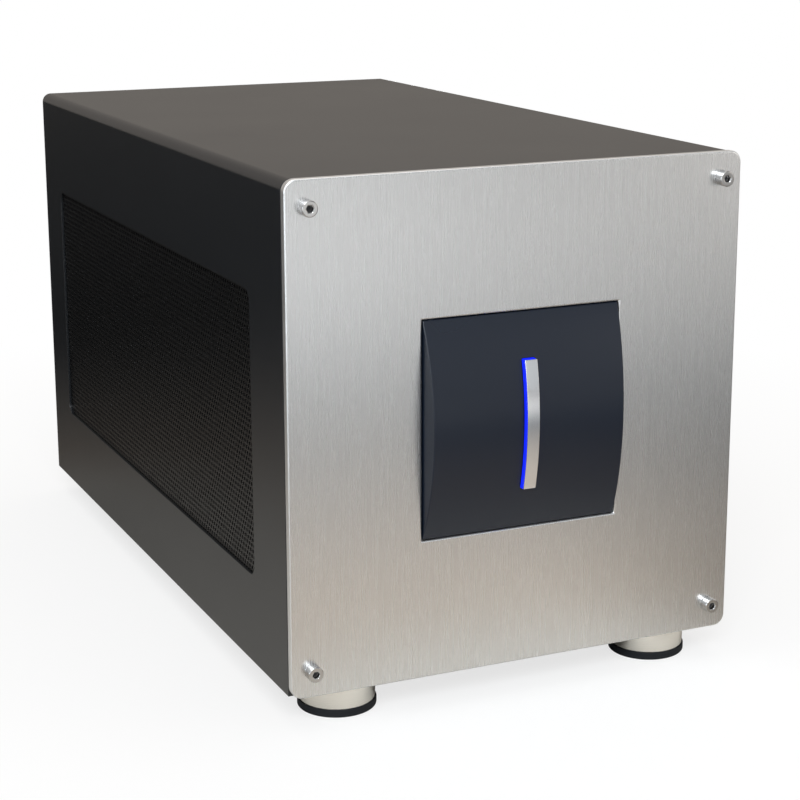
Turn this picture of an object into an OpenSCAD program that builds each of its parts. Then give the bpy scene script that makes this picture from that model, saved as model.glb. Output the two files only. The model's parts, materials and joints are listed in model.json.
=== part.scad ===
// Desktop expansion chassis: a folded steel tray under a slide-on steel cover with two
// perforated side windows, closed by an aluminium front panel with a domed, lit badge.
// Millimetres. X is to the right, Y runs back from the front panel, Z is up. The origin is
// the middle of the footprint, on the surface that the rubber foot pads rest on.
// The case is sized round what it holds: its width follows the board and the power supply,
// its depth the fan and the power supply, and its height the power supply and the headroom.

/* [Front panel] */
// Thickness of the front panel
panel_t = 3.5; // [3:0.1:5]
// Radius of the front panel's corners
panel_r = 4.5; // [3:0.5:8]
// Height of the front panel's lower edge above the floor
lift_h = 12; // [9:0.5:16]
// Distance of the panel screws from the panel's upper and lower edges
screw_in_z = 10; // [8:0.5:12]

/* [Cover] */
// Thickness of every folded steel sheet
sheet_t = 1.2; // [1:0.1:1.5]
// Step from the panel's edge in to the cover
cover_step = 0.3; // [0.2:0.1:0.8]
// Dark gap between the panel and the cover
shadow_gap = 0.8; // [0.5:0.1:1.5]
// Outer bend radius of the cover's upper edges
bend_r = 4; // [3:0.5:6]
// Sliding clearance between the cover and the chassis
slide_gap = 0.3; // [0.2:0.05:0.5]
// Width of the hem along each lower edge of the cover
hem_w = 7; // [5:0.5:8]
// Width of the cover's rear flange
rear_flange_w = 13; // [12:0.5:13.5]

/* [Side windows] */
// Distance from the panel's front face to the window
window_in_y = 38; // [32:1:42]
// Distance from the window to the cover's rear face
window_rear = 27; // [22:1:80]
// Height of the window's lower edge above the panel's lower edge
window_in_z = 35; // [30:1:45]
// Height of each side window
window_h = 110; // [80:1:130]
// Corner radius of the window
window_r = 5; // [2:0.5:10]
// Thickness of the perforated sheet
mesh_t = 0.8; // [0.5:0.1:1]
// Lap of the perforated sheet behind the cover
mesh_lap = 6; // [4:0.5:8]
// Pitch of the perforation, four times the real one
mesh_pitch = 10; // [9:0.5:20]
// Width of the bars between two holes of the perforation
mesh_bar = 2.6; // [1.5:0.1:4]

/* [Badge and light] */
// Width of the badge's opening in the panel
badge_w = 81; // [70:1:90]
// Height of the badge's opening in the panel
badge_h = 83; // [70:1:90]
// Height of the badge's middle above the panel's lower edge
badge_up = 95; // [85:1:105]
// Height of the badge's crown in front of the panel
badge_crown = 7.8; // [6:0.1:10]
// Depth of the badge's straight edges behind the panel's face
badge_sink = 0.4; // [0.2:0.1:1]
// Gap round the badge
badge_gap = 0.4; // [0.2:0.1:0.8]
// Draft of each side of the badge, from the panel's face to the crown
badge_draft = 0.9; // [0.3:0.1:2]
// Wall of the badge
badge_wall = 2; // [1.5:0.1:2.5]
// Width of the light bar
bar_w = 5; // [3:0.5:8]
// Length of the light bar
bar_l = 49; // [35:1:55]
// Thickness of the light bar's metal face
bar_t = 0.6; // [0.4:0.1:1]
// Height of the lit edge between the badge and the light bar
glow_h = 1.6; // [1:0.1:2.5]

/* [Feet] */
// Diameter of the metal feet
foot_d = 29; // [24:0.5:32]
// Overhang of the rubber foot pads round the feet
pad_rim = 0.5; // [0.3:0.1:1.5]
// Height of the rubber foot pads
pad_h = 3.2; // [2.5:0.1:4]
// Gap between the foot pads and the cover's hem
foot_hem_gap = 2.7; // [1:0.1:6]
// Distance of the rear feet from the cover's rear face
foot_rear = 30; // [24:0.5:40]

/* [Power supply] */
// Width of the power supply
psu_w = 63.5; // [60:0.5:70]
// Depth of the power supply
psu_d = 100; // [90:1:125]
// Height of the power supply, stood on its side
psu_h = 125; // [115:1:135]
// Gap between the power supply and the chassis side
psu_side_gap = 8.6; // [8.6:0.1:10]
// Clear height between the power supply and the chassis roof
headroom = 55.5; // [46:0.5:80]
// Size of the power supply's fan
psu_fan = 80; // [70:1:84]

/* [Fan] */
// Size of the chassis fan
fan_size = 120; // [110:1:124]
// Depth of the chassis fan
fan_depth = 25; // [20:1:28]
// Distance from the panel's front face to the fan's bracket
fan_front = 57; // [50:1:80]
// Gap between the fan's bracket and the power supply
fan_rear = 40.3; // [34:0.1:80]
// Number of blades on each rotor
blades = 7; // [5:1:9]

/* [Board and card slot] */
// Distance of the card slot from the board's left edge
slot_in_x = 66; // [62:0.5:75]
// Room on the board in front of the card slot
board_front = 22; // [19:0.5:40]
// Thickness of the main board
board_t = 1.6; // [1.4:0.1:2]
// Height of the standoffs
standoff_h = 8; // [7:0.5:9]
// Gap between the board and the power supply
board_psu_gap = 3.7; // [3.2:0.1:8]
// Pitch of the card brackets
slot_pitch = 20.32; // [20:0.02:20.5]
// Height of the bracket ledge above the board
ledge_up = 110.5; // [106:0.5:114]
// Length of the card slot
slot_l = 89; // [80:1:92]
// Height of the card slot
slot_h = 11.2; // [10:0.1:12]

/* [Hidden] */
$fn = 48;
arc_fn = 180;
small_fn = 24;
hex = 6;

// Overrun of every cut past the face it opens
over = 1;
// Clearance round a fastener in its hole, and round a piece seated in another
hole_gap = 0.25;
seat_gap = 0.1;
// Radial clearance of a shaft or a thread
run_gap = 0.05;

// Fasteners: head and thread diameters, head heights
screw_d = 3.5;
screw_head_d = 6;
screw_head_h = 3.8;
screw_key = 2.8;
screw_key_depth = 2;
small_d = 2;
small_head_d = 3.6;
small_head_h = 1.2;
pan_d = 3;
pan_head_d = 5.6;
pan_head_h = 2;
nut_d = 7;
nut_h = 3;
thumb_d = 3.5;
thumb_head_d = 9;
thumb_head_h = 6;
thumb_neck_d = 6;
thumb_neck_h = 1.5;
thumb_knurls = 18;
knurl_d = 1;
thumb_down = 30;

// Levels above the floor
z_tray = lift_h + sheet_t + slide_gap;
z_floor = z_tray + sheet_t;
psu_lift = 5;
z_psu = z_floor + psu_lift;
z_roof = z_psu + psu_h + headroom;
z_top = z_roof + slide_gap + sheet_t;
panel_h = z_top + cover_step - lift_h;
z_panel_mid = lift_h + panel_h / 2;
z_badge = lift_h + badge_up;
z_window = lift_h + window_in_z + window_h / 2;
z_thumb = z_top - thumb_down;

// Widths, from what stands side by side on the floor
board_side = 4;
slot_body_w = 7.5;
sink_gap = 5.25;
sink_w = 24;
board_rim = 1;
board_w = slot_in_x + slot_body_w / 2 + sink_gap + sink_w + board_rim;
chassis_half = (board_side + board_w + board_psu_gap + psu_w + psu_side_gap) / 2;
cover_w = 2 * (chassis_half + slide_gap + mesh_t + sheet_t);
panel_w = cover_w + 2 * cover_step;
nut_side_gap = 0.9;
screw_x = chassis_half - sheet_t - nut_d / 2 - nut_side_gap;
thumb_x = chassis_half - sheet_t - nut_d / 2 - seat_gap;

// Depth, from what stands along the right side
fan_bracket_rim = 5;
fan_bracket_w = fan_size + 2 * fan_bracket_rim;
body_d = fan_front + fan_bracket_w + fan_rear + psu_d + 2 * sheet_t + slide_gap;
window_l = body_d - window_in_y - window_rear;

// Places along Y, from the badge back to the thumbscrews
front_reach = badge_crown + glow_h + bar_t;
rear_reach = seat_gap + thumb_neck_h + thumb_head_h;
y_face = (front_reach - body_d - rear_reach) / 2;
y_wall = y_face + panel_t;
y_cover = y_wall + shadow_gap;
y_end = y_face + body_d;
y_rear = y_end - sheet_t - slide_gap;
y_rear_in = y_rear - sheet_t;
y_window = y_face + window_in_y + window_l / 2;
foot_panel_gap = 0.2;
pad_d = foot_d + 2 * pad_rim;
y_front_feet = y_wall + foot_panel_gap + foot_d / 2;
y_rear_feet = y_end - foot_rear;
x_feet = cover_w / 2 - hem_w - foot_hem_gap - pad_d / 2;

// Badge: its face is part of a cylinder that lies along X
badge_half_w = badge_w / 2 - badge_gap;
badge_half_h = badge_h / 2 - badge_gap;
badge_rise = badge_crown + badge_sink;
badge_arc_r = (badge_half_h * badge_half_h + badge_rise * badge_rise) / (2 * badge_rise);
y_arc = y_face - badge_crown + badge_arc_r;
lip_w = 4;
lip_t = 1.6;
lip_room = 1;
y_lip = y_wall + lip_t;
guide_in = 6;
shoulder_w = 2;
led_board_h = 24;
led_board_t = 1.6;
led_size = 5;
led_t = 1.4;
led_count = 3;
led_pitch = 7;
badge_screw_in = 2;
badge_screw_depth = 2.4;

// Folds of the tray and the rear panel
fold_h = 12;
fold_play = 0.5;
roof_w = 2 * (chassis_half - bend_r);
rivet_d = 3.2;
rivet_head_d = 6;
rivet_head_h = 1;
rivet_side_share = 0.82;
rivet_mid_share = 0.42;

// Feet
foot_sink = 1.2;
foot_bevel = 0.5;
foot_bore_d = 4.5;
foot_well_d = 9;
foot_well_h = 6;
foot_screw_d = 4;
foot_head_d = 7.6;
foot_head_h = 3.5;
pad_hole_d = 12;

// Card brackets and the recessed frame that they hang in
bracket_apart = 1.92;
bracket_w = slot_pitch - bracket_apart;
bracket_t = 0.8;
bracket_floor_gap = 0.9;
bracket_tab = 11.4;
tongue_w = 10.2;
tongue_h = 9;
slot_open_w = 13.5;
slot_open_end = 5;
frame_room = 2.2;
frame_depth = 12.5;
frame_lip = 5;
tab_hole_y = 6.5;
hex_head_d = 7.2;
hex_head_h = 3;
washer_d = 9;
washer_h = 0.8;
slot_screw_l = 5;

// Board: its left edge stands off the chassis side
z_board = z_floor + standoff_h;
z_board_top = z_board + board_t;
x_board = board_side - chassis_half;
x_slot = x_board + slot_in_x;
x_slot_mid = x_slot - slot_pitch / 2;
frame_half = slot_pitch / 2 + bracket_w / 2 + frame_room;
y_slot = y_rear_in - frame_depth;
z_ledge = z_board_top + ledge_up;
z_frame = z_board;
bracket_gap = 1.2;
slot_from_bracket = 56;
y_board_end = y_slot - bracket_t - bracket_gap;
y_card_slot = y_slot - slot_from_bracket - slot_l;
y_board = y_card_slot - board_front;
board_ear_w = 14;
standoff_d = 6;
board_hole_in = 5;
board_hole_mid_share = 0.3;
board_chamfer = 3;

// Card slot and its latch
slot_groove_w = 1.9;
slot_groove_depth = 8.4;
slot_end_wall = 2.6;
slot_key_in = 14.2;
slot_key_w = 1.8;
latch_w = 4.4;
latch_ear_l = 8;
latch_ear_h = 6.5;
latch_pivot_in = 4;
latch_pivot_up = 3;
latch_pin_d = 1.6;
latch_boss_r = 2;
// The lever's outline, in heights of its pivot above the board
latch_shares = [[-0.55, -0.3], [0.55, -0.3], [0.6, 2.9], [1.15, 3.3], [1.15, 4.2], [0.2, 4.4],
                [-1.5, 5.2], [-1.8, 4.7], [-0.6, 3.3]];

// Controller and heatsink, right of the card slot
chip_size = 14;
chip_t = 1.4;
sink_l = 42;
sink_base = 3;
sink_h = 18;
sink_fins = 8;
sink_fin_t = 1.1;
sink_from_end = 75;
x_sink = x_board + board_w - board_rim - sink_w / 2;
y_sink = y_board_end - sink_from_end;
post_d = 3;

// Small parts on the board
cap_d = 7;
cap_h = 11;
cap_count = 5;
cap_pitch = 9.5;
coil_size = 8;
coil_h = 4.5;
coil_count = 4;
coil_pitch = 11;
parts_in_x = 16;
parts_in_y = 22;
ic_w = 9;
ic_l = 7;
ic_t = 1.2;
header_w = 18.4;
header_d = 10.4;
header_h = 12.6;
header_wall = 0.8;
header_floor = 2.5;
header_in_x = 18;
header_in_y = 12;
plug_rise = 7;
x_header = x_board + board_w - header_in_x;
y_header = y_board + header_in_y;
z_plug_top = z_board_top + header_h + plug_rise;
fan_header_w = 7.6;
fan_header_d = 4;
fan_header_h = 6;
fan_header_in = 4;
x_light_header = x_board + parts_in_x + 2 * coil_size;
x_fan_header = x_slot - fan_header_w;

// Data port at the board's ear
port_w = 9;
port_h = 3.3;
port_t = 0.4;
port_l = 8;
port_room = 0.5;
tongue_port_w = 6.6;
tongue_port_t = 0.8;
tongue_port_l = 5;
x_port = x_board + board_w - board_ear_w / 2;
z_port = z_board_top + port_h / 2;

// Power supply, stood on its side behind the right window
psu_wall = 1;
x_psu = chassis_half - psu_side_gap - psu_w;
x_psu_mid = x_psu + psu_w / 2;
y_psu = y_rear_in - psu_d;
psu_hole_in_x = 5.75;
psu_hole_in_z = 6;
psu_frame_in = 8;
inlet_w = 31;
inlet_h = 23;
inlet_rim = 1.4;
inlet_body_w = 27;
inlet_body_h = 20;
inlet_depth = 20;
inlet_bay_w = 24.6;
inlet_bay_h = 16.8;
inlet_bay_depth = 16;
inlet_up = 30;
z_inlet = z_psu + inlet_up;
pin_w = 2;
pin_h = 4;
pin_l = 14;
pin_apart = 7;
pin_step = 2;
switch_w = 15;
switch_h = 23;
switch_rim = 1.4;
switch_depth = 12;
switch_open_w = 10.6;
switch_open_h = 18.4;
switch_up = 62;
z_switch = z_psu + switch_up;
rocker_w = 10;
rocker_half = 8.2;
rocker_rise = 2.2;
rocker_deep = 5;
rocker_foot = 6;
rocker_pivot_in = 2;
rocker_pin_d = 2.4;
rocker_pin_l = 1.5;
rocker_tilt = 8;
vent_pitch = 6.5;
vent_hole = 5;
psu_vent_w = 40;
psu_vent_gap = 5.5;
z_psu_vent = z_switch + switch_h / 2 + psu_vent_gap;
psu_vent_h = z_psu + psu_h - psu_frame_in - z_psu_vent;
psu_fan_t = 15;
psu_fan_hole_share = 0.47;
psu_fan_holes_share = 0.894;
guard_t = 1.2;
guard_wire = 1.6;
guard_rings = 5;
y_psu_fan = y_psu + psu_d / 2;
z_psu_fan = z_psu + psu_h / 2;
x_psu_skin = x_psu + psu_w - psu_wall;
rest_l = 40;
rest_in = 6;
rest_side = 6;
rest_stop_h = 14;
z_rest_screw = z_psu + rest_stop_h / 2;
lead_hole_play = 2;
grommet_rim = 1.5;

// Rear panel openings
rear_vent_w = 112;
rear_vent_h = 27;
rear_vent_down = 24;
side_vent_w = 20;
side_vent_h = 70;
side_vent_in = 19;
side_vent_up = 88;
lock_w = 7;
lock_h = 3;
lock_in = 19;
lock_up = 30;

// Chassis fan, behind the right window
fan_side_gap = 3;
x_fan = chassis_half - fan_side_gap - fan_depth;
y_fan = y_face + fan_front + fan_bracket_w / 2;
z_fan = z_window;
fan_hole_in = 7.5;
fan_holes = fan_size - 2 * fan_hole_in;
fan_flange = 4;
fan_wall = 2;
fan_hole_d = 4.3;
fan_corner_r = 6;
fan_screw_d = 4;
fan_screw_head_d = 7;
fan_screw_head_h = 2.2;
fan_foot_w = 14;
fan_foot_in = 18;

// Rotors: share of the duct radius that the hub takes, and the shape of a blade
hub_share = 0.33;
hub_wall = 1.6;
shaft_d = 3;
bearing_d = 8;
strut_w = 4;
strut_t = 2.5;
tip_gap = 1;
rotor_gap = 0.6;
blade_t = 1.6;
blade_h_share = 0.8;
blade_steps = 4;
blade_sweep = 32;
blade_twist = -34;
blade_slices = 5;

// Leads inside the chassis
lead_d = 8;
card_lead_d = 7;
thin_d = 3;
lead_sides = 8;
lead_rounding = 2;
card_plug_w = 17;
card_plug_h = 9;
card_plug_l = 20;
clip_w = 6;
clip_t = 1.2;
card_lead_l = 45;
y_card_plug = y_psu + card_lead_l;
lead_in_x = 15;
lead_low = 36;
lead_high = 66;
lead_holes = [[x_psu + lead_in_x, z_psu + lead_low, lead_d],
              [x_psu + lead_in_x, z_psu + lead_high, card_lead_d]];

// Flat profiles. along_y() puts a profile's X and Y on the part's X and Z; along_x() puts
// them on the part's Y and Z.
module along_y(y, len) {
    translate([0, y + len, 0]) rotate([90, 0, 0]) linear_extrude(height = len) children();
}

module along_x(x, len) {
    translate([x, 0, 0]) rotate([90, 0, 90]) linear_extrude(height = len) children();
}

module rod_y(y, len, d, n = $fn) {
    translate([0, y, 0]) rotate([-90, 0, 0]) cylinder(d = d, h = len, $fn = n);
}

module rod_x(x, len, d, n = $fn) {
    translate([x, 0, 0]) rotate([0, 90, 0]) cylinder(d = d, h = len, $fn = n);
}

module round_rect(w, h, r) {
    square([w - 2 * r, h], center = true);
    square([w, h - 2 * r], center = true);
    four(w - 2 * r, h - 2 * r) circle(r = r);
}

// Four copies at the corners of a rectangle, in a profile
module four(w, h) {
    for (sx = [-1, 1], sy = [-1, 1]) translate([sx * w / 2, sy * h / 2]) children();
}

// Four copies at the corners of a rectangle that faces Y, or X
module four_xz(w, h) {
    for (sx = [-1, 1], sz = [-1, 1]) translate([sx * w / 2, 0, sz * h / 2]) children();
}

module four_yz(w, h) {
    for (sy = [-1, 1], sz = [-1, 1]) translate([0, sy * w / 2, sz * h / 2]) children();
}

// Rows of holes in a field, every other row set half a pitch along
module staggered(w, h, pitch, hole) {
    rise = pitch * sin(60);
    rows = floor((h - hole) / rise) + 1;
    for (j = [0 : rows - 1]) {
        holes = floor((w - hole) / pitch) + 1 - j % 2;
        for (i = [0 : holes - 1])
            translate([(i - (holes - 1) / 2) * pitch, (j - (rows - 1) / 2) * rise])
                circle(d = hole, $fn = hex);
    }
}

// A plate that faces Y with rounded upper corners
module wall_outline() {
    w = 2 * chassis_half;
    h = z_roof - z_tray;
    translate([0, z_tray + (h - bend_r) / 2]) square([w, h - bend_r], center = true);
    translate([0, z_tray + h / 2]) square([w - 2 * bend_r, h], center = true);
    for (s = [-1, 1]) translate([s * (w / 2 - bend_r), z_roof - bend_r]) circle(r = bend_r);
}

// Screw along Y: the head in front of y = 0 and the thread behind it
module screw_y(head_d, head_h, d, len) {
    rod_y(-head_h, head_h, head_d);
    rod_y(0, len, d, small_fn);
}

// Screw along Z: the head above z = 0 and the thread below it
module screw_z(head_d, head_h, d, len) {
    cylinder(d = head_d, h = head_h);
    translate([0, 0, -len]) cylinder(d = d, h = len, $fn = small_fn);
}

module at_panel_screws() {
    translate([0, 0, z_panel_mid])
        four_xz(2 * screw_x, panel_h - 2 * screw_in_z) children();
}

module at_feet() {
    for (s = [-1, 1], y = [y_front_feet, y_rear_feet]) translate([s * x_feet, y, 0]) children();
}

module at_thumbscrews() {
    for (s = [-1, 1]) translate([s * thumb_x, 0, z_thumb]) children();
}

module at_rivets() {
    for (s = [-1, 1], share = [rivet_mid_share, rivet_side_share])
        translate([s * share * chassis_half, y_rear_in - fold_h / 2, 0]) children();
}

module at_badge_screws() {
    in = lip_w - badge_screw_in;
    translate([0, 0, z_badge]) {
        four_xz(badge_w + 2 * in, badge_h + 2 * in) children();
        for (s = [-1, 1]) translate([s * (badge_w / 2 + in), 0, 0]) children();
    }
}

module front_panel() {
    color([0.78, 0.78, 0.77]) difference() {
        along_y(y_face, panel_t) difference() {
            translate([0, z_panel_mid]) round_rect(panel_w, panel_h, panel_r);
            translate([0, z_badge]) square([badge_w, badge_h], center = true);
            translate([0, z_panel_mid])
                four(2 * screw_x, panel_h - 2 * screw_in_z)
                    circle(d = screw_d + 2 * hole_gap);
        }
        at_badge_screws()
            rod_y(y_wall - badge_screw_depth, badge_screw_depth + over,
                  small_d + 2 * run_gap, small_fn);
    }
}

module panel_screws() {
    len = panel_t + sheet_t + nut_h;
    color([0.85, 0.85, 0.86]) at_panel_screws() translate([0, y_face, 0]) difference() {
        screw_y(screw_head_d, screw_head_h, screw_d, len);
        rod_y(-screw_head_h - over, screw_key_depth + over, screw_key, hex);
    }
}

// The solid cylinder whose front makes the badge's face
module badge_cylinder(r) {
    translate([0, y_arc, z_badge]) rod_x(-panel_w / 2, panel_w, 2 * r, arc_fn);
}

// The badge's block, its faces set in by a wall: a tapered plan under the cylinder
module badge_block(set_in, back) {
    half_w = badge_half_w - set_in;
    reach = badge_crown + over;
    tip = half_w - badge_draft * reach / badge_crown;
    intersection() {
        badge_cylinder(badge_arc_r - set_in);
        translate([0, 0, z_badge - badge_half_h + set_in])
            linear_extrude(height = 2 * (badge_half_h - set_in))
                polygon([[-half_w, back], [-half_w, y_face], [-tip, y_face - reach],
                         [tip, y_face - reach], [half_w, y_face], [half_w, back]]);
    }
}

// A strip of the badge's curve between two radii
module arc_strip(r_in, r_out, w, len) {
    drop = r_in - sqrt(r_in * r_in - len * len / 4);
    difference() {
        intersection() {
            badge_cylinder(r_out);
            translate([-w / 2, y_arc - r_out - over, z_badge - len / 2])
                cube([w, r_out - r_in + drop + 2 * over, len]);
        }
        badge_cylinder(r_in);
    }
}

module badge_bezel() {
    slot_w = bar_w + 2 * seat_gap;
    slot_l_z = bar_l + 2 * seat_gap;
    color([0.13, 0.14, 0.17]) difference() {
        union() {
            badge_block(0, y_lip);
            along_y(y_wall, lip_t) translate([0, z_badge])
                square([badge_w + 2 * lip_w, badge_h + 2 * lip_w], center = true);
        }
        badge_block(badge_wall, y_lip + over);
        translate([-slot_w / 2, y_face - badge_crown - over, z_badge - slot_l_z / 2])
            cube([slot_w, badge_crown + panel_t, slot_l_z]);
        at_badge_screws()
            rod_y(y_wall - over, lip_t + 2 * over, small_d + 2 * hole_gap, small_fn);
    }
}

module light_bar() {
    r = badge_arc_r + glow_h;
    color([0.9, 0.9, 0.92]) arc_strip(r, r + bar_t, bar_w, bar_l);
}

module light_guide() {
    r_back = badge_arc_r - badge_wall - guide_in;
    color([0.1, 0.25, 0.95]) {
        arc_strip(r_back, badge_arc_r + glow_h, bar_w, bar_l);
        arc_strip(r_back, badge_arc_r - badge_wall - seat_gap,
                  bar_w + 2 * shoulder_w, bar_l + 2 * shoulder_w);
    }
}

module led_board() {
    w = badge_w + 2 * lip_w - badge_screw_in / 2;
    color([0.1, 0.3, 0.16]) difference() {
        along_y(y_lip, led_board_t) translate([0, z_badge])
            square([w, led_board_h], center = true);
        at_badge_screws()
            rod_y(y_lip - over, led_board_t + 2 * over, small_d + 2 * hole_gap, small_fn);
    }
    color([0.95, 0.95, 0.9]) for (i = [0 : led_count - 1])
        translate([-led_size / 2, y_lip - led_t,
                   z_badge + (i - (led_count - 1) / 2) * led_pitch - led_size / 2])
            cube([led_size, led_t, led_size]);
}

module badge_screw(y_head) {
    len = y_head - y_wall + badge_screw_depth - seat_gap;
    translate([0, y_head, 0]) mirror([0, 1, 0])
        screw_y(small_head_d, small_head_h, small_d, len);
}

module badge_screws() {
    in = lip_w - badge_screw_in;
    color([0.6, 0.6, 0.62]) translate([0, 0, z_badge]) {
        four_xz(badge_w + 2 * in, badge_h + 2 * in) badge_screw(y_lip);
        for (s = [-1, 1]) translate([s * (badge_w / 2 + in), 0, 0])
            badge_screw(y_lip + led_board_t);
    }
}

// The cover's section: an inverted U with rounded upper corners
module cover_outline(set_in) {
    w = cover_w - 2 * set_in;
    top = z_top - set_in;
    low = lift_h - (set_in > 0 ? over : 0);
    r = bend_r - set_in;
    translate([-w / 2, low]) square([w, top - r - low]);
    translate([r - w / 2, low]) square([w - 2 * r, top - low]);
    for (s = [-1, 1]) translate([s * (w / 2 - r), top - r]) circle(r = r);
}

module cover() {
    flange_open = cover_w - 2 * rear_flange_w;
    color([0.17, 0.16, 0.16]) difference() {
        union() {
            along_y(y_cover, y_end - y_cover) difference() {
                cover_outline(0);
                cover_outline(sheet_t);
            }
            along_y(y_end - sheet_t, sheet_t) difference() {
                cover_outline(0);
                translate([-flange_open / 2, lift_h - over])
                    square([flange_open, z_top - rear_flange_w - lift_h + over]);
            }
            for (s = [0, 1]) mirror([s, 0, 0])
                translate([cover_w / 2 - hem_w, y_cover, lift_h])
                    cube([hem_w, y_end - y_cover, sheet_t]);
        }
        along_x(-cover_w / 2 - over, cover_w + 2 * over) translate([y_window, z_window])
            round_rect(window_l, window_h, window_r);
        at_thumbscrews()
            rod_y(y_end - sheet_t - over, sheet_t + 2 * over, thumb_d + 2 * hole_gap);
    }
}

module grille(x) {
    along_x(x, mesh_t) translate([y_window, z_window]) difference() {
        round_rect(window_l + 2 * mesh_lap, window_h + 2 * mesh_lap, window_r);
        staggered(window_l - mesh_bar, window_h - mesh_bar, mesh_pitch, mesh_pitch - mesh_bar);
    }
}

module left_grille() {
    color([0.12, 0.12, 0.13]) grille(sheet_t - cover_w / 2);
}

module right_grille() {
    color([0.12, 0.12, 0.13]) grille(cover_w / 2 - sheet_t - mesh_t);
}

module base_tray() {
    side_l = y_rear_in - y_wall;
    color([0.2, 0.2, 0.21]) difference() {
        union() {
            translate([-chassis_half, y_wall, z_tray]) cube([2 * chassis_half, side_l, sheet_t]);
            along_y(y_wall, sheet_t) wall_outline();
            translate([-roof_w / 2, y_wall, z_roof - sheet_t]) cube([roof_w, fold_h, sheet_t]);
            for (s = [0, 1]) mirror([s, 0, 0])
                translate([chassis_half - sheet_t, y_wall, z_tray])
                    cube([sheet_t, side_l, fold_h]);
        }
        along_y(y_wall - over, sheet_t + 2 * over) translate([0, z_badge])
            square([badge_w + 2 * (lip_w + lip_room), badge_h + 2 * (lip_w + lip_room)],
                   center = true);
        at_panel_screws() rod_y(y_wall - over, sheet_t + 2 * over, screw_d + 2 * hole_gap);
        translate([0, 0, z_tray - over]) {
            at_feet() cylinder(d = foot_screw_d + 2 * hole_gap, h = sheet_t + 2 * over);
            at_rivets() cylinder(d = rivet_d + 2 * run_gap, h = sheet_t + 2 * over);
            at_bracket_screws() cylinder(d = pan_d + 2 * run_gap, h = sheet_t + 2 * over);
            at_board_holes() cylinder(d = pan_d + 2 * run_gap, h = sheet_t + 2 * over);
        }
    }
}

module press_nut(bore_d) {
    difference() {
        cylinder(d = nut_d, h = nut_h);
        translate([0, 0, -over]) cylinder(d = bore_d, h = nut_h + 2 * over);
    }
}

module press_nuts() {
    color([0.72, 0.72, 0.7]) {
        at_panel_screws() translate([0, y_wall + sheet_t, 0]) rotate([-90, 0, 0])
            press_nut(screw_d + 2 * run_gap);
        at_feet() translate([0, 0, z_floor]) press_nut(foot_screw_d + 2 * run_gap);
        at_thumbscrews() translate([0, y_rear_in, 0]) rotate([90, 0, 0])
            press_nut(thumb_d + 2 * run_gap);
    }
}

module rear_panel() {
    frame_w = psu_w - 2 * psu_frame_in;
    frame_h = psu_h - 2 * psu_frame_in;
    fold_z = z_tray + fold_h + fold_play;
    color([0.2, 0.2, 0.21]) difference() {
        union() {
            along_y(y_rear_in, sheet_t) difference() {
                wall_outline();
                translate([x_psu_mid, z_psu + psu_h / 2]) {
                    square([frame_w, frame_h], center = true);
                    four(psu_w - 2 * psu_hole_in_x, psu_h - 2 * psu_hole_in_z)
                        circle(d = screw_d + 2 * hole_gap, $fn = small_fn);
                }
                translate([x_slot_mid - frame_half + sheet_t, z_frame + sheet_t])
                    square([2 * (frame_half - sheet_t), z_ledge - z_frame - 2 * sheet_t]);
                translate([x_port, z_port])
                    round_rect(port_w + 2 * port_room, port_h + 2 * port_room,
                               port_h / 2 + port_room - seat_gap);
                translate([0, z_roof - rear_vent_down])
                    staggered(rear_vent_w, rear_vent_h, vent_pitch, vent_hole);
                translate([side_vent_in - chassis_half, z_tray + side_vent_up])
                    staggered(side_vent_w, side_vent_h, vent_pitch, vent_hole);
                translate([lock_in - chassis_half, z_tray + lock_up])
                    round_rect(lock_w, lock_h, lock_h / 2 - seat_gap);
            }
            translate([-chassis_half + sheet_t + fold_play, y_rear_in - fold_h, z_floor])
                cube([2 * (chassis_half - sheet_t - fold_play), fold_h + sheet_t, sheet_t]);
            translate([-roof_w / 2, y_rear_in - fold_h, z_roof - sheet_t])
                cube([roof_w, fold_h + sheet_t, sheet_t]);
            for (s = [0, 1]) mirror([s, 0, 0])
                translate([chassis_half - sheet_t, y_rear_in - fold_h, fold_z])
                    cube([sheet_t, fold_h + sheet_t, z_roof - bend_r - fold_z]);
        }
        at_thumbscrews()
            rod_y(y_rear_in - over, sheet_t + 2 * over, thumb_d + 2 * hole_gap);
        at_rivets() translate([0, 0, z_floor - over])
            cylinder(d = rivet_d + 2 * run_gap, h = sheet_t + 2 * over);
    }
}

module rear_rivets() {
    color([0.7, 0.7, 0.7]) at_rivets() {
        translate([0, 0, z_tray - rivet_head_h])
            cylinder(d = rivet_head_d, h = rivet_head_h);
        translate([0, 0, z_tray]) cylinder(d = rivet_d, h = 2 * sheet_t);
        translate([0, 0, z_floor + sheet_t]) cylinder(d = rivet_head_d, h = rivet_head_h);
    }
}

module at_brackets() {
    for (i = [0, 1]) translate([x_slot - i * slot_pitch, 0, 0]) children();
}

// A pan let into the rear panel, with two card openings and the ledge for the bracket screws
module slot_frame() {
    h = z_ledge - z_frame;
    lip_h = h - sheet_t;
    open_h = z_ledge - sheet_t - slot_open_end - (z_board_top + slot_open_end);
    color([0.24, 0.24, 0.25]) difference() {
        union() {
            translate([x_slot_mid - frame_half, y_slot, z_frame])
                cube([2 * frame_half, frame_depth, h]);
            translate([x_slot_mid - frame_half - frame_lip, y_rear_in - sheet_t, z_frame])
                cube([2 * (frame_half + frame_lip), sheet_t, lip_h]);
        }
        translate([x_slot_mid - frame_half + sheet_t, y_slot + sheet_t, z_frame + sheet_t])
            cube([2 * (frame_half - sheet_t), frame_depth, h - 2 * sheet_t]);
        at_brackets() {
            translate([-slot_open_w / 2, y_slot - over, z_board_top + slot_open_end])
                cube([slot_open_w, sheet_t + 2 * over, open_h]);
            translate([0, y_slot + tab_hole_y, z_ledge - sheet_t - over])
                cylinder(d = screw_d + 2 * run_gap, h = sheet_t + 2 * over, $fn = small_fn);
        }
    }
}

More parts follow.
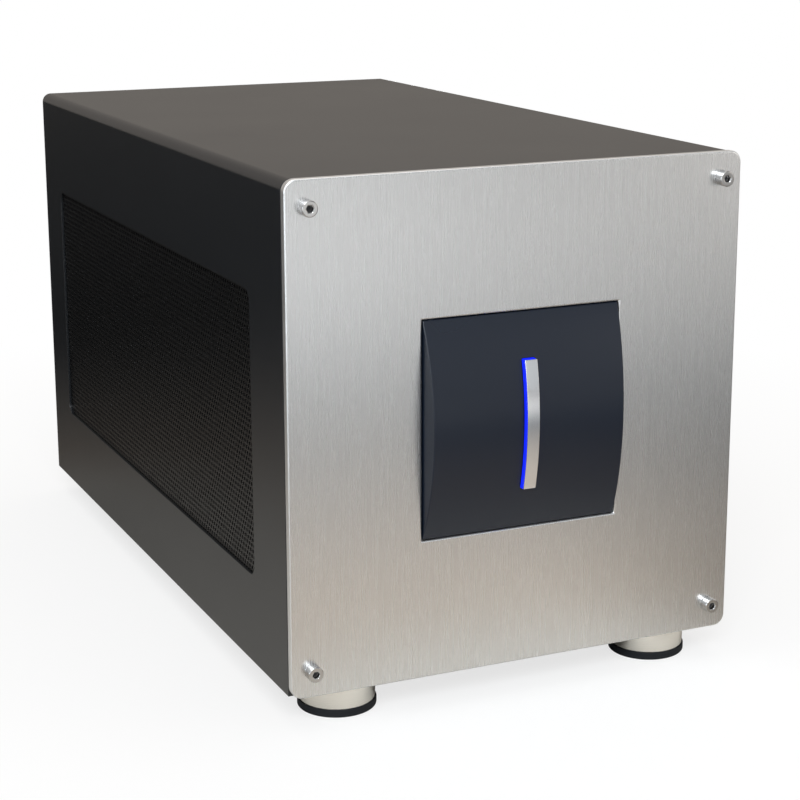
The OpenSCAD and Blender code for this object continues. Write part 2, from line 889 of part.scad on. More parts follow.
module slot_cover() {
    low = z_floor + bracket_floor_gap;
    top = z_ledge + bracket_t;
    taper = (bracket_w - tongue_w) / 2;
    along_y(y_slot - bracket_t, bracket_t)
        polygon([[-bracket_w / 2, top], [-bracket_w / 2, low + tongue_h + taper],
                 [-tongue_w / 2, low + tongue_h], [-tongue_w / 2, low],
                 [tongue_w / 2, low], [tongue_w / 2, low + tongue_h],
                 [bracket_w / 2, low + tongue_h + taper], [bracket_w / 2, top]]);
    difference() {
        translate([-bracket_w / 2, y_slot - bracket_t, z_ledge])
            cube([bracket_w, bracket_t + bracket_tab, bracket_t]);
        translate([0, y_slot + tab_hole_y, z_ledge - over])
            cylinder(d = screw_d + 2 * hole_gap, h = bracket_t + 2 * over, $fn = small_fn);
    }
}

module slot_covers() {
    color([0.68, 0.68, 0.68]) at_brackets() slot_cover();
}

module slot_screws() {
    color([0.75, 0.75, 0.74]) at_brackets()
        translate([0, y_slot + tab_hole_y, z_ledge + bracket_t]) {
            screw_z(washer_d, washer_h, screw_d, slot_screw_l);
            translate([0, 0, washer_h]) cylinder(d = hex_head_d, h = hex_head_h, $fn = hex);
        }
}

// Knurled head behind the cover's flange, thread forward through the rear panel's nut
module thumbscrew(s) {
    y_seat = y_end + seat_gap;
    color([0.15, 0.15, 0.16]) translate([s * thumb_x, 0, z_thumb]) {
        rod_y(y_seat, thumb_neck_h, thumb_neck_d);
        rod_y(y_rear_in - nut_h, y_seat - y_rear_in + nut_h, thumb_d, small_fn);
        difference() {
            rod_y(y_seat + thumb_neck_h, thumb_head_h, thumb_head_d);
            for (i = [0 : thumb_knurls - 1]) rotate([0, i * 360 / thumb_knurls, 0])
                translate([thumb_head_d / 2 + knurl_d / 4, 0, 0])
                    rod_y(y_seat + thumb_neck_h - over, thumb_head_h + 2 * over, knurl_d, hex);
        }
    }
}

module thumbscrew_left() {
    thumbscrew(-1);
}

module thumbscrew_right() {
    thumbscrew(1);
}

// Turned foot: bevelled edges, a bore for its screw and a well for the screw's head
module foot() {
    low = pad_h - foot_sink;
    r = foot_d / 2;
    rotate_extrude()
        polygon([[foot_bore_d / 2, z_tray], [r - foot_bevel, z_tray], [r, z_tray - foot_bevel],
                 [r, low + foot_bevel], [r - foot_bevel, low], [foot_well_d / 2, low],
                 [foot_well_d / 2, low + foot_well_h], [foot_bore_d / 2, low + foot_well_h]]);
}

module feet() {
    color([0.75, 0.75, 0.74]) at_feet() foot();
}

// Rubber cup that the foot stands in
module foot_pad() {
    r = pad_d / 2;
    inner = foot_d / 2 + seat_gap;
    rotate_extrude()
        polygon([[pad_hole_d / 2, 0], [r - foot_bevel, 0], [r, foot_bevel], [r, pad_h],
                 [inner, pad_h], [inner, pad_h - foot_sink],
                 [pad_hole_d / 2, pad_h - foot_sink]]);
}

module foot_pads() {
    color([0.08, 0.09, 0.11]) at_feet() foot_pad();
}

module foot_screws() {
    seat = pad_h - foot_sink + foot_well_h;
    color([0.6, 0.6, 0.6]) at_feet() {
        translate([0, 0, seat - foot_head_h]) cylinder(d = foot_head_d, h = foot_head_h);
        translate([0, 0, seat]) cylinder(d = foot_screw_d, h = z_floor + nut_h - seat);
    }
}

module at_board_holes() {
    far = y_board_end - board_hole_in;
    near = y_board + board_hole_in;
    mid = near + (far - near) * board_hole_mid_share;
    for (x = [x_board + board_hole_in, x_board + board_w - board_hole_in], y = [near, mid, far])
        translate([x, y, 0]) children();
}

module at_sink_posts() {
    for (s = [-1, 1])
        translate([x_sink + s * (sink_w / 2 - post_d), y_sink + s * (sink_l / 2 - post_d), 0])
            children();
}

// The board has an ear that carries the data port out to the rear panel
module main_board() {
    x_end = x_board + board_w;
    y_ear = y_rear_in - seat_gap;
    color([0.07, 0.23, 0.14]) difference() {
        translate([0, 0, z_board]) linear_extrude(height = board_t)
            polygon([[x_board, y_board + board_chamfer], [x_board + board_chamfer, y_board],
                     [x_end - board_chamfer, y_board], [x_end, y_board + board_chamfer],
                     [x_end, y_ear], [x_end - board_ear_w, y_ear],
                     [x_end - board_ear_w, y_board_end], [x_board, y_board_end]]);
        translate([0, 0, z_board - over]) {
            at_board_holes() cylinder(d = pan_d + 2 * hole_gap, h = board_t + 2 * over);
            at_sink_posts() cylinder(d = post_d / 2 + 2 * hole_gap, h = board_t + 2 * over);
        }
    }
}

module standoffs() {
    color([0.78, 0.65, 0.35]) at_board_holes() translate([0, 0, z_floor]) difference() {
        union() {
            cylinder(d = standoff_d, h = standoff_h, $fn = hex);
            translate([0, 0, -sheet_t]) cylinder(d = pan_d, h = sheet_t);
        }
        translate([0, 0, standoff_h / 3]) cylinder(d = pan_d + 2 * run_gap, h = standoff_h);
    }
}

module board_screws() {
    color([0.7, 0.7, 0.7]) at_board_holes() translate([0, 0, z_board_top])
        screw_z(pan_head_d, pan_head_h, pan_d, board_t + standoff_h / 2);
}

module latch_pivot() {
    translate([x_slot, y_card_slot - latch_pivot_in, z_board_top + latch_pivot_up]) children();
}

// Edge connector: a long groove with its key, and two ears that carry the latch
module card_slot() {
    w = slot_body_w;
    inner = slot_l - 2 * slot_end_wall;
    ear_w = (w - latch_w) / 2 - seat_gap;
    color([0.1, 0.1, 0.11]) difference() {
        translate([x_slot - w / 2, y_card_slot, z_board_top]) {
            cube([w, slot_l, slot_h]);
            for (x = [0, w - ear_w]) translate([x, -latch_ear_l, 0])
                cube([ear_w, latch_ear_l, latch_ear_h]);
        }
        translate([x_slot - slot_groove_w / 2, y_card_slot + slot_end_wall,
                   z_board_top + slot_h - slot_groove_depth]) {
            cube([slot_groove_w, inner - slot_key_in, slot_groove_depth + over]);
            translate([0, inner - slot_key_in + slot_key_w, 0])
                cube([slot_groove_w, slot_key_in - slot_key_w, slot_groove_depth + over]);
        }
        latch_pivot() rod_x(-w / 2 - over, w + 2 * over, latch_pin_d + 2 * run_gap, small_fn);
    }
}

// Lever that hooks a card's end
module slot_latch() {
    color([0.14, 0.16, 0.2]) latch_pivot() {
        along_x(-latch_w / 2, latch_w) {
            circle(r = latch_boss_r, $fn = small_fn);
            polygon([for (share = latch_shares) share * latch_pivot_up]);
        }
        rod_x(seat_gap - slot_body_w / 2, slot_body_w - 2 * seat_gap, latch_pin_d, small_fn);
    }
}

module controller_chip() {
    color([0.12, 0.12, 0.13])
        translate([x_sink - chip_size / 2, y_sink - chip_size / 2, z_board_top])
            cube([chip_size, chip_size, chip_t]);
}

// Finned block on the chip, held by two spring posts through the board
module heatsink() {
    step = (sink_w - sink_fin_t) / (sink_fins - 1);
    fin_l = sink_l - 4 * post_d;
    color([0.3, 0.31, 0.33]) {
        translate([x_sink - sink_w / 2, y_sink - sink_l / 2, z_board_top + chip_t]) {
            cube([sink_w, sink_l, sink_base]);
            for (i = [0 : sink_fins - 1]) translate([i * step, 2 * post_d, 0])
                cube([sink_fin_t, fin_l, sink_h]);
        }
        at_sink_posts() {
            translate([0, 0, z_board_top]) cylinder(d = post_d / 2, h = chip_t);
            translate([0, 0, z_board]) cylinder(d = post_d / 2, h = board_t);
            translate([0, 0, z_board_top + chip_t + sink_base])
                cylinder(d = post_d, h = post_d);
        }
    }
}

// Capacitors, coils and chips, left of the card slot and in front of it, soldered down
module board_parts() {
    y0 = y_board + parts_in_y;
    x0 = x_board + parts_in_x;
    translate([0, 0, z_board_top]) {
        color([0.25, 0.25, 0.28]) for (i = [0 : cap_count - 1])
            translate([x0 - cap_d / 2, y0 + cap_d + i * cap_pitch, 0])
                cylinder(d = cap_d, h = cap_h);
        color([0.3, 0.3, 0.3]) for (i = [0 : coil_count - 1])
            translate([x0 + cap_d, y0 + i * coil_pitch, 0])
                cube([coil_size, coil_size, coil_h]);
        color([0.1, 0.1, 0.1]) for (i = [0 : coil_count - 1])
            translate([x0 + cap_d + 2 * coil_size, y0 + i * coil_pitch, 0])
                cube([ic_w, ic_l, ic_t]);
        color([0.9, 0.9, 0.85]) for (x = [x_light_header, x_fan_header])
            translate([x, y_board + fan_header_in, 0])
                cube([fan_header_w, fan_header_d, fan_header_h]);
    }
}

module power_header() {
    color([0.12, 0.12, 0.12]) translate([x_header, y_header, z_board_top]) difference() {
        translate([-header_w / 2, -header_d / 2, 0]) cube([header_w, header_d, header_h]);
        translate([header_wall - header_w / 2, header_wall - header_d / 2, header_floor])
            cube([header_w - 2 * header_wall, header_d - 2 * header_wall, header_h]);
    }
}

module power_plug() {
    w = header_w - 2 * header_wall - 2 * seat_gap;
    d = header_d - 2 * header_wall - 2 * seat_gap;
    h = header_h - header_floor - seat_gap + plug_rise;
    color([0.9, 0.88, 0.8])
        translate([x_header - w / 2, y_header - d / 2, z_plug_top - h]) cube([w, d, h]);
}

module data_port() {
    r = port_h / 2 - seat_gap;
    color([0.8, 0.8, 0.8]) along_y(y_rear - port_l, port_l) translate([x_port, z_port])
        difference() {
            round_rect(port_w, port_h, r);
            round_rect(port_w - 2 * port_t, port_h - 2 * port_t, r - port_t);
        }
    color([0.2, 0.2, 0.2]) along_y(y_rear - port_l, port_l - tongue_port_l)
        translate([x_port, z_port])
            round_rect(port_w - 2 * port_t, port_h - 2 * port_t, r - port_t);
}

module port_tongue() {
    color([0.1, 0.1, 0.1]) along_y(y_rear - tongue_port_l, tongue_port_l - port_t)
        translate([x_port, z_port]) square([tongue_port_w, tongue_port_t], center = true);
}

// A piece whose own X is the part's Y and whose own Y is the part's Z, on the supply's fan
module at_psu_fan() {
    translate([0, y_psu_fan, z_psu_fan]) children();
}

module psu_case() {
    fan_hole = psu_fan * psu_fan_hole_share * 2;
    screw_span = psu_fan * psu_fan_holes_share;
    inner = [psu_w - 2 * psu_wall, psu_d - 2 * psu_wall, psu_h - 2 * psu_wall];
    deep = psu_wall + 2 * over;
    color([0.32, 0.32, 0.33]) difference() {
        translate([x_psu, y_psu, z_psu]) difference() {
            cube([psu_w, psu_d, psu_h]);
            translate([psu_wall, psu_wall, psu_wall]) cube(inner);
        }
        at_psu_fan() {
            rod_x(x_psu_skin - over, deep, fan_hole);
            four_yz(screw_span, screw_span)
                rod_x(x_psu_skin - over, deep, screw_d + 2 * hole_gap, small_fn);
        }
        translate([x_psu_mid, 0, 0]) {
            along_y(y_rear_in - psu_wall - over, deep) {
                translate([0, z_inlet])
                    square([inlet_body_w + 2 * hole_gap, inlet_body_h + 2 * hole_gap],
                           center = true);
                translate([0, z_switch])
                    square([switch_w - 2 * switch_rim + 2 * hole_gap,
                            switch_h - 2 * switch_rim + 2 * hole_gap], center = true);
                translate([0, z_psu_vent + psu_vent_h / 2])
                    staggered(psu_vent_w, psu_vent_h, vent_pitch, vent_hole);
            }
            translate([0, 0, z_psu + psu_h / 2])
                four_xz(psu_w - 2 * psu_hole_in_x, psu_h - 2 * psu_hole_in_z)
                    rod_y(y_rear_in - psu_wall - over, deep, screw_d + 2 * run_gap, small_fn);
        }
        for (hole = lead_holes) translate([hole[0], 0, hole[1]])
            rod_y(y_psu - over, deep, hole[2] + 2 * lead_hole_play);
        translate([x_psu_mid, y_psu, z_rest_screw])
            rod_y(-over, deep, pan_d + 2 * run_gap, small_fn);
    }
}

module psu_screws() {
    color([0.7, 0.7, 0.7]) {
        translate([x_psu_mid, y_rear, z_psu + psu_h / 2])
            four_xz(psu_w - 2 * psu_hole_in_x, psu_h - 2 * psu_hole_in_z)
                mirror([0, 1, 0])
                    screw_y(screw_head_d, screw_head_h / 2, screw_d, sheet_t + 2 * psu_wall);
        translate([x_psu_mid, y_psu - sheet_t, z_rest_screw])
            screw_y(pan_head_d, pan_head_h, pan_d, sheet_t + 2 * psu_wall);
    }
}

// Hat-shaped rest under the supply's front end, with a stop screwed to the supply
module psu_rest() {
    w = psu_w - 2 * rest_side;
    y0 = y_psu + rest_in;
    color([0.55, 0.55, 0.56]) translate([x_psu + rest_side, 0, 0]) difference() {
        union() {
            translate([0, y0, z_floor]) cube([sheet_t, rest_l, psu_lift]);
            translate([w - sheet_t, y0, z_floor]) cube([sheet_t, rest_l, psu_lift]);
            translate([0, y_psu - sheet_t, z_psu - sheet_t])
                cube([w, rest_in + rest_l + sheet_t, sheet_t]);
            translate([0, y_psu - sheet_t, z_psu - sheet_t])
                cube([w, sheet_t, rest_stop_h + sheet_t]);
        }
        translate([w / 2, y_psu - sheet_t, z_rest_screw])
            rod_y(-over, sheet_t + 2 * over, pan_d + 2 * hole_gap, small_fn);
    }
}

module inlet_socket() {
    color([0.09, 0.09, 0.1]) translate([x_psu_mid, 0, z_inlet]) difference() {
        union() {
            along_y(y_rear_in, inlet_rim) round_rect(inlet_w, inlet_h, inlet_rim);
            along_y(y_rear_in - inlet_depth, inlet_depth)
                square([inlet_body_w, inlet_body_h], center = true);
        }
        along_y(y_rear_in + inlet_rim - inlet_bay_depth, inlet_bay_depth + over)
            polygon([[-inlet_bay_w / 2, -inlet_bay_h / 2], [inlet_bay_w / 2, -inlet_bay_h / 2],
                     [inlet_bay_w / 2, inlet_bay_h / 6], [inlet_bay_w / 3, inlet_bay_h / 2],
                     [-inlet_bay_w / 3, inlet_bay_h / 2], [-inlet_bay_w / 2, inlet_bay_h / 6]]);
    }
}

module inlet_pins() {
    y0 = y_rear_in + inlet_rim - inlet_bay_depth;
    color([0.85, 0.8, 0.6]) translate([x_psu_mid, 0, z_inlet]) {
        for (s = [-1, 1]) translate([s * pin_apart - pin_w / 2, y0, -pin_step - pin_h / 2])
            cube([pin_w, pin_l, pin_h]);
        translate([-pin_w / 2, y0, pin_step - pin_h / 2]) cube([pin_w, pin_l, pin_h]);
    }
}

module rocker_pivot() {
    translate([x_psu_mid, y_rear_in + switch_rim - rocker_pivot_in, z_switch]) children();
}

module switch_bezel() {
    w = switch_w - 2 * switch_rim;
    h = switch_h - 2 * switch_rim;
    back = switch_rim;
    color([0.09, 0.09, 0.1]) difference() {
        translate([x_psu_mid, 0, z_switch]) difference() {
            union() {
                along_y(y_rear_in, switch_rim) round_rect(switch_w, switch_h, switch_rim);
                along_y(y_rear_in - switch_depth, switch_depth) square([w, h], center = true);
            }
            along_y(y_rear_in - switch_depth + back, switch_depth + switch_rim)
                square([switch_open_w, switch_open_h], center = true);
        }
        rocker_pivot()
            rod_x(-w / 2 - over, w + 2 * over, rocker_pin_d + 2 * run_gap, small_fn);
    }
}

// Rocker: a shallow V on a cross pin, resting on its upper half
module power_rocker() {
    pivot = rocker_pivot_in;
    pin = rocker_w + 2 * (rocker_pin_l - hole_gap);
    color([0.12, 0.12, 0.12]) rocker_pivot() rotate([rocker_tilt, 0, 0]) {
        along_x(-rocker_w / 2, rocker_w)
            polygon([[-rocker_deep, -rocker_foot], [pivot + rocker_rise, -rocker_half],
                     [pivot, 0], [pivot + rocker_rise, rocker_half],
                     [-rocker_deep, rocker_foot]]);
        rod_x(-pin / 2, pin, rocker_pin_d, small_fn);
    }
}

// Fans stand on their own Z axis, the air leaving at the top. The frame holds a motor plate
// and a bearing tube on struts; the rotor's shaft runs in the tube.
module fan_body(size, depth, holes, corner_r, flange) {
    duct = size / 2 - fan_wall;
    hub = duct * hub_share;
    difference() {
        union() {
            for (z = [0, depth - flange]) translate([0, 0, z])
                linear_extrude(height = flange) round_rect(size, size, corner_r);
            cylinder(r = size / 2, h = depth);
        }
        translate([0, 0, -over]) cylinder(r = duct, h = depth + 2 * over, $fn = arc_fn);
        translate([0, 0, -over]) linear_extrude(height = depth + 2 * over)
            four(holes, holes) circle(d = fan_hole_d, $fn = small_fn);
    }
    difference() {
        union() {
            cylinder(r = hub, h = strut_t);
            cylinder(d = bearing_d, h = depth - 2 * strut_t - rotor_gap);
            for (a = [0 : 90 : 270]) rotate([0, 0, a])
                translate([0, -strut_w / 2, 0]) cube([duct + fan_wall / 2, strut_w, strut_t]);
        }
        translate([0, 0, strut_t / 2])
            cylinder(d = shaft_d + 2 * run_gap, h = depth, $fn = small_fn);
    }
}

// Corners of one blade's section, out along its front edge and back along its rear edge
function blade_edge(r0, r1, side) = [
    for (i = [0 : blade_steps])
        let (k = i / blade_steps, r = r0 + (r1 - r0) * k, a = blade_sweep * k * k)
            [r * cos(a) - side * blade_t / 2 * sin(a), r * sin(a) + side * blade_t / 2 * cos(a)]
];
function reversed(list) = [for (i = [len(list) - 1 : -1 : 0]) list[i]];

module fan_wheel(size, depth) {
    duct = size / 2 - fan_wall;
    hub = duct * hub_share;
    low = strut_t + rotor_gap;
    high = depth - strut_t / 2;
    tall = high - low;
    blade_h = tall * blade_h_share;
    translate([0, 0, low]) difference() {
        cylinder(r = hub, h = tall);
        translate([0, 0, -over]) cylinder(r = hub - hub_wall, h = tall - strut_t / 2 + over);
    }
    translate([0, 0, strut_t]) cylinder(d = shaft_d, h = high - 2 * strut_t / 2 - strut_t / 2,
                                        $fn = small_fn);
    for (i = [0 : blades - 1]) rotate([0, 0, i * 360 / blades])
        translate([0, 0, low + (tall - blade_h) / 2])
            linear_extrude(height = blade_h, twist = blade_twist, slices = blade_slices)
                polygon(concat(blade_edge(hub - hub_wall / 2, duct - tip_gap, -1),
                               reversed(blade_edge(hub - hub_wall / 2, duct - tip_gap, 1))));
}

// The supply's fan blows inwards, from the skin towards the middle
module on_psu_fan() {
    translate([x_psu_skin, y_psu_fan, z_psu_fan]) rotate([0, -90, 0]) children();
}

module psu_fan_frame() {
    color([0.1, 0.1, 0.1]) on_psu_fan()
        fan_body(psu_fan, psu_fan_t, psu_fan * psu_fan_holes_share, fan_wall, fan_wall);
}

module psu_rotor() {
    color([0.16, 0.16, 0.17]) on_psu_fan() fan_wheel(psu_fan, psu_fan_t);
}

module psu_fan_guard() {
    r = psu_fan * psu_fan_hole_share;
    span = psu_fan * psu_fan_holes_share;
    reach = span / 2 * sqrt(2);
    color([0.7, 0.7, 0.7]) along_x(x_psu_skin + psu_wall, guard_t)
        translate([y_psu_fan, z_psu_fan]) difference() {
            union() {
                for (i = [1 : guard_rings]) difference() {
                    circle(r = r * i / guard_rings);
                    circle(r = r * i / guard_rings - guard_wire);
                }
                for (a = [45 : 90 : 315]) rotate(a)
                    translate([r / guard_rings - guard_wire, -guard_wire / 2])
                        square([reach - r / guard_rings + guard_wire, guard_wire]);
                four(span, span) circle(d = screw_head_d, $fn = small_fn);
            }
            four(span, span) circle(d = screw_d + 2 * hole_gap, $fn = small_fn);
        }
}

module psu_fan_screws() {
    span = psu_fan * psu_fan_holes_share;
    color([0.6, 0.6, 0.6])
        translate([x_psu_skin + psu_wall + guard_t, y_psu_fan, z_psu_fan])
            four_yz(span, span) rotate([0, 90, 0])
                screw_z(screw_head_d, small_head_h, screw_d, guard_t + psu_wall + fan_wall);
}

module on_fan() {
    translate([x_fan, y_fan, z_fan]) rotate([0, 90, 0]) mirror([0, 0, 1])
        translate([0, 0, -fan_depth]) children();
}

module fan_frame() {
    color([0.14, 0.14, 0.15]) on_fan()
        fan_body(fan_size, fan_depth, fan_holes, fan_corner_r, fan_flange);
}

module fan_rotor() {
    color([0.2, 0.2, 0.21]) on_fan() fan_wheel(fan_size, fan_depth);
}

module at_bracket_screws() {
    span = fan_size - 2 * fan_foot_in;
    for (s = [-1, 1])
        translate([x_fan - sheet_t - fan_foot_w / 2, y_fan + s * span / 2, 0]) children();
}

// Upright plate on the fan's inner face, with a foot screwed to the tray
module fan_bracket() {
    w = fan_bracket_w;
    top = z_fan + w / 2;
    color([0.3, 0.3, 0.31]) difference() {
        union() {
            along_x(x_fan - sheet_t, sheet_t)
                translate([y_fan - w / 2, z_floor]) square([w, top - z_floor]);
            translate([x_fan - sheet_t - fan_foot_w, y_fan - w / 2, z_floor])
                cube([fan_foot_w + sheet_t, w, sheet_t]);
        }
        along_x(x_fan - sheet_t - over, sheet_t + 2 * over) translate([y_fan, z_fan]) {
            circle(r = fan_size / 2 - fan_wall);
            four(fan_holes, fan_holes) circle(d = fan_hole_d, $fn = small_fn);
        }
        at_bracket_screws() translate([0, 0, z_floor - over])
            cylinder(d = pan_d + 2 * hole_gap, h = sheet_t + 2 * over, $fn = small_fn);
    }
}

module bracket_screws() {
    color([0.7, 0.7, 0.7]) at_bracket_screws() translate([0, 0, z_floor + sheet_t])
        screw_z(pan_head_d, pan_head_h, pan_d, 2 * sheet_t);
}

module fan_screws() {
    color([0.6, 0.6, 0.6]) translate([x_fan - sheet_t, y_fan, z_fan])
        four_yz(fan_holes, fan_holes) rotate([0, -90, 0])
            screw_z(fan_screw_head_d, fan_screw_head_h, fan_screw_d, sheet_t + fan_flange);
}

// A lead is a tube swept along a route. The route's corners are cut back a few times, which
// rounds it and leaves its ends straight; each ring's frame is carried over from the last.
function unit(v) = v / norm(v);
function corner_cut(p, n) = n == 0 ? p : corner_cut(
    [p[0], for (i = [0 : len(p) - 2]) each [p[i] * 0.75 + p[i + 1] * 0.25,
                                            p[i] * 0.25 + p[i + 1] * 0.75],
     p[len(p) - 1]], n - 1);
function tangent(p, i) = unit(p[min(i + 1, len(p) - 1)] - p[max(i - 1, 0)]);
function carried(side, t) = unit(side - (side * t) * t);
function sides(p, i, side) = i == len(p) ? [] :
    let (s = carried(side, tangent(p, i))) concat([s], sides(p, i + 1, s));

module lead(route, d, side) {
    p = corner_cut(route, lead_rounding);
    s = sides(p, 0, side);
    n = lead_sides;
    rings = len(p);
    points = [for (i = [0 : rings - 1]) let (u = cross(tangent(p, i), s[i]))
        for (k = [0 : n - 1]) p[i] + d / 2 * (cos(k * 360 / n) * s[i] + sin(k * 360 / n) * u)];
    walls = [for (i = [0 : rings - 2], k = [0 : n - 1]) let (m = (k + 1) % n)
        each [[i * n + k, (i + 1) * n + k, (i + 1) * n + m], [i * n + k, (i + 1) * n + m,
                                                            i * n + m]]];
    first = [for (k = [1 : n - 2]) [0, k, k + 1]];
    last = [for (k = [1 : n - 2]) [(rings - 1) * n, (rings - 1) * n + k + 1,
                                   (rings - 1) * n + k]];
    polyhedron(points = points, faces = concat(first, walls, last));
}

// Rubber ring in each hole where a lead leaves the supply, with a rim outside the case
module lead_grommets() {
    color([0.1, 0.1, 0.1]) for (hole = lead_holes) translate([hole[0], 0, hole[1]])
        difference() {
            union() {
                rod_y(y_psu, psu_wall, hole[2] + 2 * (lead_hole_play - seat_gap));
                rod_y(y_psu - grommet_rim, grommet_rim,
                      hole[2] + 2 * (lead_hole_play + grommet_rim));
            }
            rod_y(y_psu - grommet_rim - over, psu_wall + grommet_rim + 2 * over,
                  hole[2] + 2 * seat_gap);
        }
}

module main_lead() {
    x = x_psu + lead_in_x;
    z = z_psu + lead_low;
    run = y_psu - y_header;
    color([0.08, 0.08, 0.09])
        lead([[x, y_psu + psu_wall, z], [x, y_psu - run / 4, z],
              [x, y_psu - run * 0.8, z + lead_d], [x_header, y_header, z + lead_d * 2],
              [x_header, y_header, z], [x_header, y_header, z_plug_top]],
             lead_d, [0, 0, 1]);
}

module card_lead() {
    x = x_psu + lead_in_x;
    z = z_psu + lead_high;
    x_side = x_psu - clip_t - card_lead_d / 2;
    bend = 4 * card_lead_d;
    color([0.08, 0.08, 0.09])
        lead([[x, y_psu + psu_wall, z], [x, y_psu - bend / 2, z], [x, y_psu - bend, z],
              [x_side, y_psu - bend, z], [x_side, y_psu - bend / 2, z],
              [x_side, y_card_plug, z]],
             card_lead_d, [0, 0, 1]);
}

// The card's plug waits beside the power supply, its lead held by a clip
module card_plug() {
    x_side = x_psu - clip_t - card_lead_d / 2;
    color([0.1, 0.1, 0.1])
        translate([x_side - card_plug_h / 2, y_card_plug, z_psu + lead_high - card_plug_w / 2])
            cube([card_plug_h, card_plug_l, card_plug_w]);
}

module lead_clip() {
    x_side = x_psu - clip_t - card_lead_d / 2;
    outer = card_lead_d + 2 * (clip_t - seat_gap);
    bore = card_lead_d + 2 * seat_gap;
    w = outer + 2 * clip_w;
    color([0.85, 0.85, 0.82])
        along_y(y_psu + card_lead_l / 2, clip_w) translate([x_side, z_psu + lead_high])
            difference() {
                union() {
                    circle(d = outer);
                    translate([card_lead_d / 2 + seat_gap, -w / 2])
                        square([clip_t - seat_gap, w]);
                }
                circle(d = bore);
            }
}

module fan_lead() {
    z = z_floor + thin_d / 2 + seat_gap;
    x_foot = x_fan - sheet_t - fan_foot_w;
    x_low = x_foot - 2 * thin_d;
    y_near = y_fan - fan_bracket_w / 2;
    z_from = z_fan - fan_size / 2 + fan_wall * 4;
    x_from = x_fan + fan_depth / 2;
    x_to = x_fan_header + fan_header_w / 2;
    color([0.1, 0.1, 0.1])
        lead([[x_from, y_fan - fan_size / 2, z_from], [x_from, y_near - 2 * thin_d, z_from],
              [x_from, y_near - 3 * thin_d, z], [x_low, y_near - 3 * thin_d, z],
              [x_to, y_near - 3 * thin_d, z], [x_to, y_board - 4 * thin_d, z],
              [x_to, y_board - 2 * thin_d, z_board_top + fan_header_h / 2],
              [x_to, y_board + fan_header_in, z_board_top + fan_header_h / 2]],
             thin_d, [1, 0, 0]);
}

module light_lead() {
    z = z_floor + thin_d / 2 + seat_gap;
    y_back = y_lip + led_board_t;
    x_to = x_light_header + fan_header_w / 2;
    x_from = -badge_w / 4;
    z_from = z_badge - led_board_h / 4;
    color([0.6, 0.1, 0.1])
        lead([[x_from, y_back, z_from], [x_from, y_back + 3 * thin_d, z_from],
              [x_from, y_back + 4 * thin_d, z_badge - badge_h / 2],
              [x_to, y_back + 4 * thin_d, z + lift_h], [x_to, y_back + 5 * thin_d, z],
              [x_to, y_board - 4 * thin_d, z],
              [x_to, y_board - 2 * thin_d, z_board_top + fan_header_h / 2],
              [x_to, y_board + fan_header_in, z_board_top + fan_header_h / 2]],
             thin_d, [1, 0, 0]);
}

front_panel();
panel_screws();
badge_bezel();
light_bar();
light_guide();
led_board();
badge_screws();
cover();
left_grille();
right_grille();
base_tray();
press_nuts();
rear_panel();
rear_rivets();
slot_frame();
slot_covers();
slot_screws();
thumbscrew_left();
thumbscrew_right();
feet();
foot_pads();
foot_screws();
main_board();
standoffs();
board_screws();
card_slot();
slot_latch();
controller_chip();
heatsink();
board_parts();
power_header();
power_plug();
data_port();
port_tongue();
psu_case();
psu_screws();
psu_rest();
inlet_socket();
inlet_pins();
switch_bezel();
power_rocker();
psu_fan_frame();
psu_rotor();
psu_fan_guard();
psu_fan_screws();
fan_bracket();
bracket_screws();
fan_frame();
fan_rotor();
fan_screws();
main_lead();
card_lead();
card_plug();
lead_clip();
lead_grommets();
fan_lead();
light_lead();
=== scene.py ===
"""Looks of a desktop expansion chassis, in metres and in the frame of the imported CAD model.

Most nodes are copied, their edges broken and their finish put on. The side grilles get their
fine perforation, the leads become smooth tubes, and the board and sockets get their contacts.
"""
import json
import math

import bmesh
import bpy
from mathutils import Matrix, Vector


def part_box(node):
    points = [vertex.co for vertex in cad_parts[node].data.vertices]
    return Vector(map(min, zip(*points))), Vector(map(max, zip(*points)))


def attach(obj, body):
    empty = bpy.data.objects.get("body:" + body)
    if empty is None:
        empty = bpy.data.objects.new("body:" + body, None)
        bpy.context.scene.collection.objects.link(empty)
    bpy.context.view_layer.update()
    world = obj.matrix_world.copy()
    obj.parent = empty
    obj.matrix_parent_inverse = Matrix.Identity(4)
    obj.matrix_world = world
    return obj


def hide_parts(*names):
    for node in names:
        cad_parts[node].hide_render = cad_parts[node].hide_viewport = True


MM = 0.001

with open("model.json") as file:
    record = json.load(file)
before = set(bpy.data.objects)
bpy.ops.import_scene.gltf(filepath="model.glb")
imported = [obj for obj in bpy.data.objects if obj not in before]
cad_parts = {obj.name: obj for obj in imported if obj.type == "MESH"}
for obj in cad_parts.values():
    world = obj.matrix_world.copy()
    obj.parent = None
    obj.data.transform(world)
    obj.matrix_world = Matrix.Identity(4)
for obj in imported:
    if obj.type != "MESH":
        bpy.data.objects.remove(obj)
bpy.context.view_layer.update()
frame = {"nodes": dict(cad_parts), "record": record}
nodes = frame["nodes"]
node_slots = {p["node"]: p["material_slot"] for p in frame["record"]["subparts"]}
node_bodies = {n: b for b, held in frame["record"]["behaviour"]["bodies"].items() for n in held}


# ------------------------------------------------------------------ shader nodes

WHITE = (1, 1, 1, 1)


def put(tree, kind, settings=None, **inputs):
    """A node of that kind, its settings set, and each input set or joined to a socket.

    An input's spaces are written as underscores, and a number after an underscore is its place.
    """
    node = tree.nodes.new("ShaderNode" + kind)
    for key, value in (settings or {}).items():
        setattr(node, key, value)
    for key, value in inputs.items():
        tail = key.rsplit("_", 1)[-1]
        socket = node.inputs[int(tail)] if tail.isdigit() else node.inputs[key.replace("_", " ")]
        if isinstance(value, bpy.types.NodeSocket):
            tree.links.new(value, socket)
        else:
            socket.default_value = value
    return node


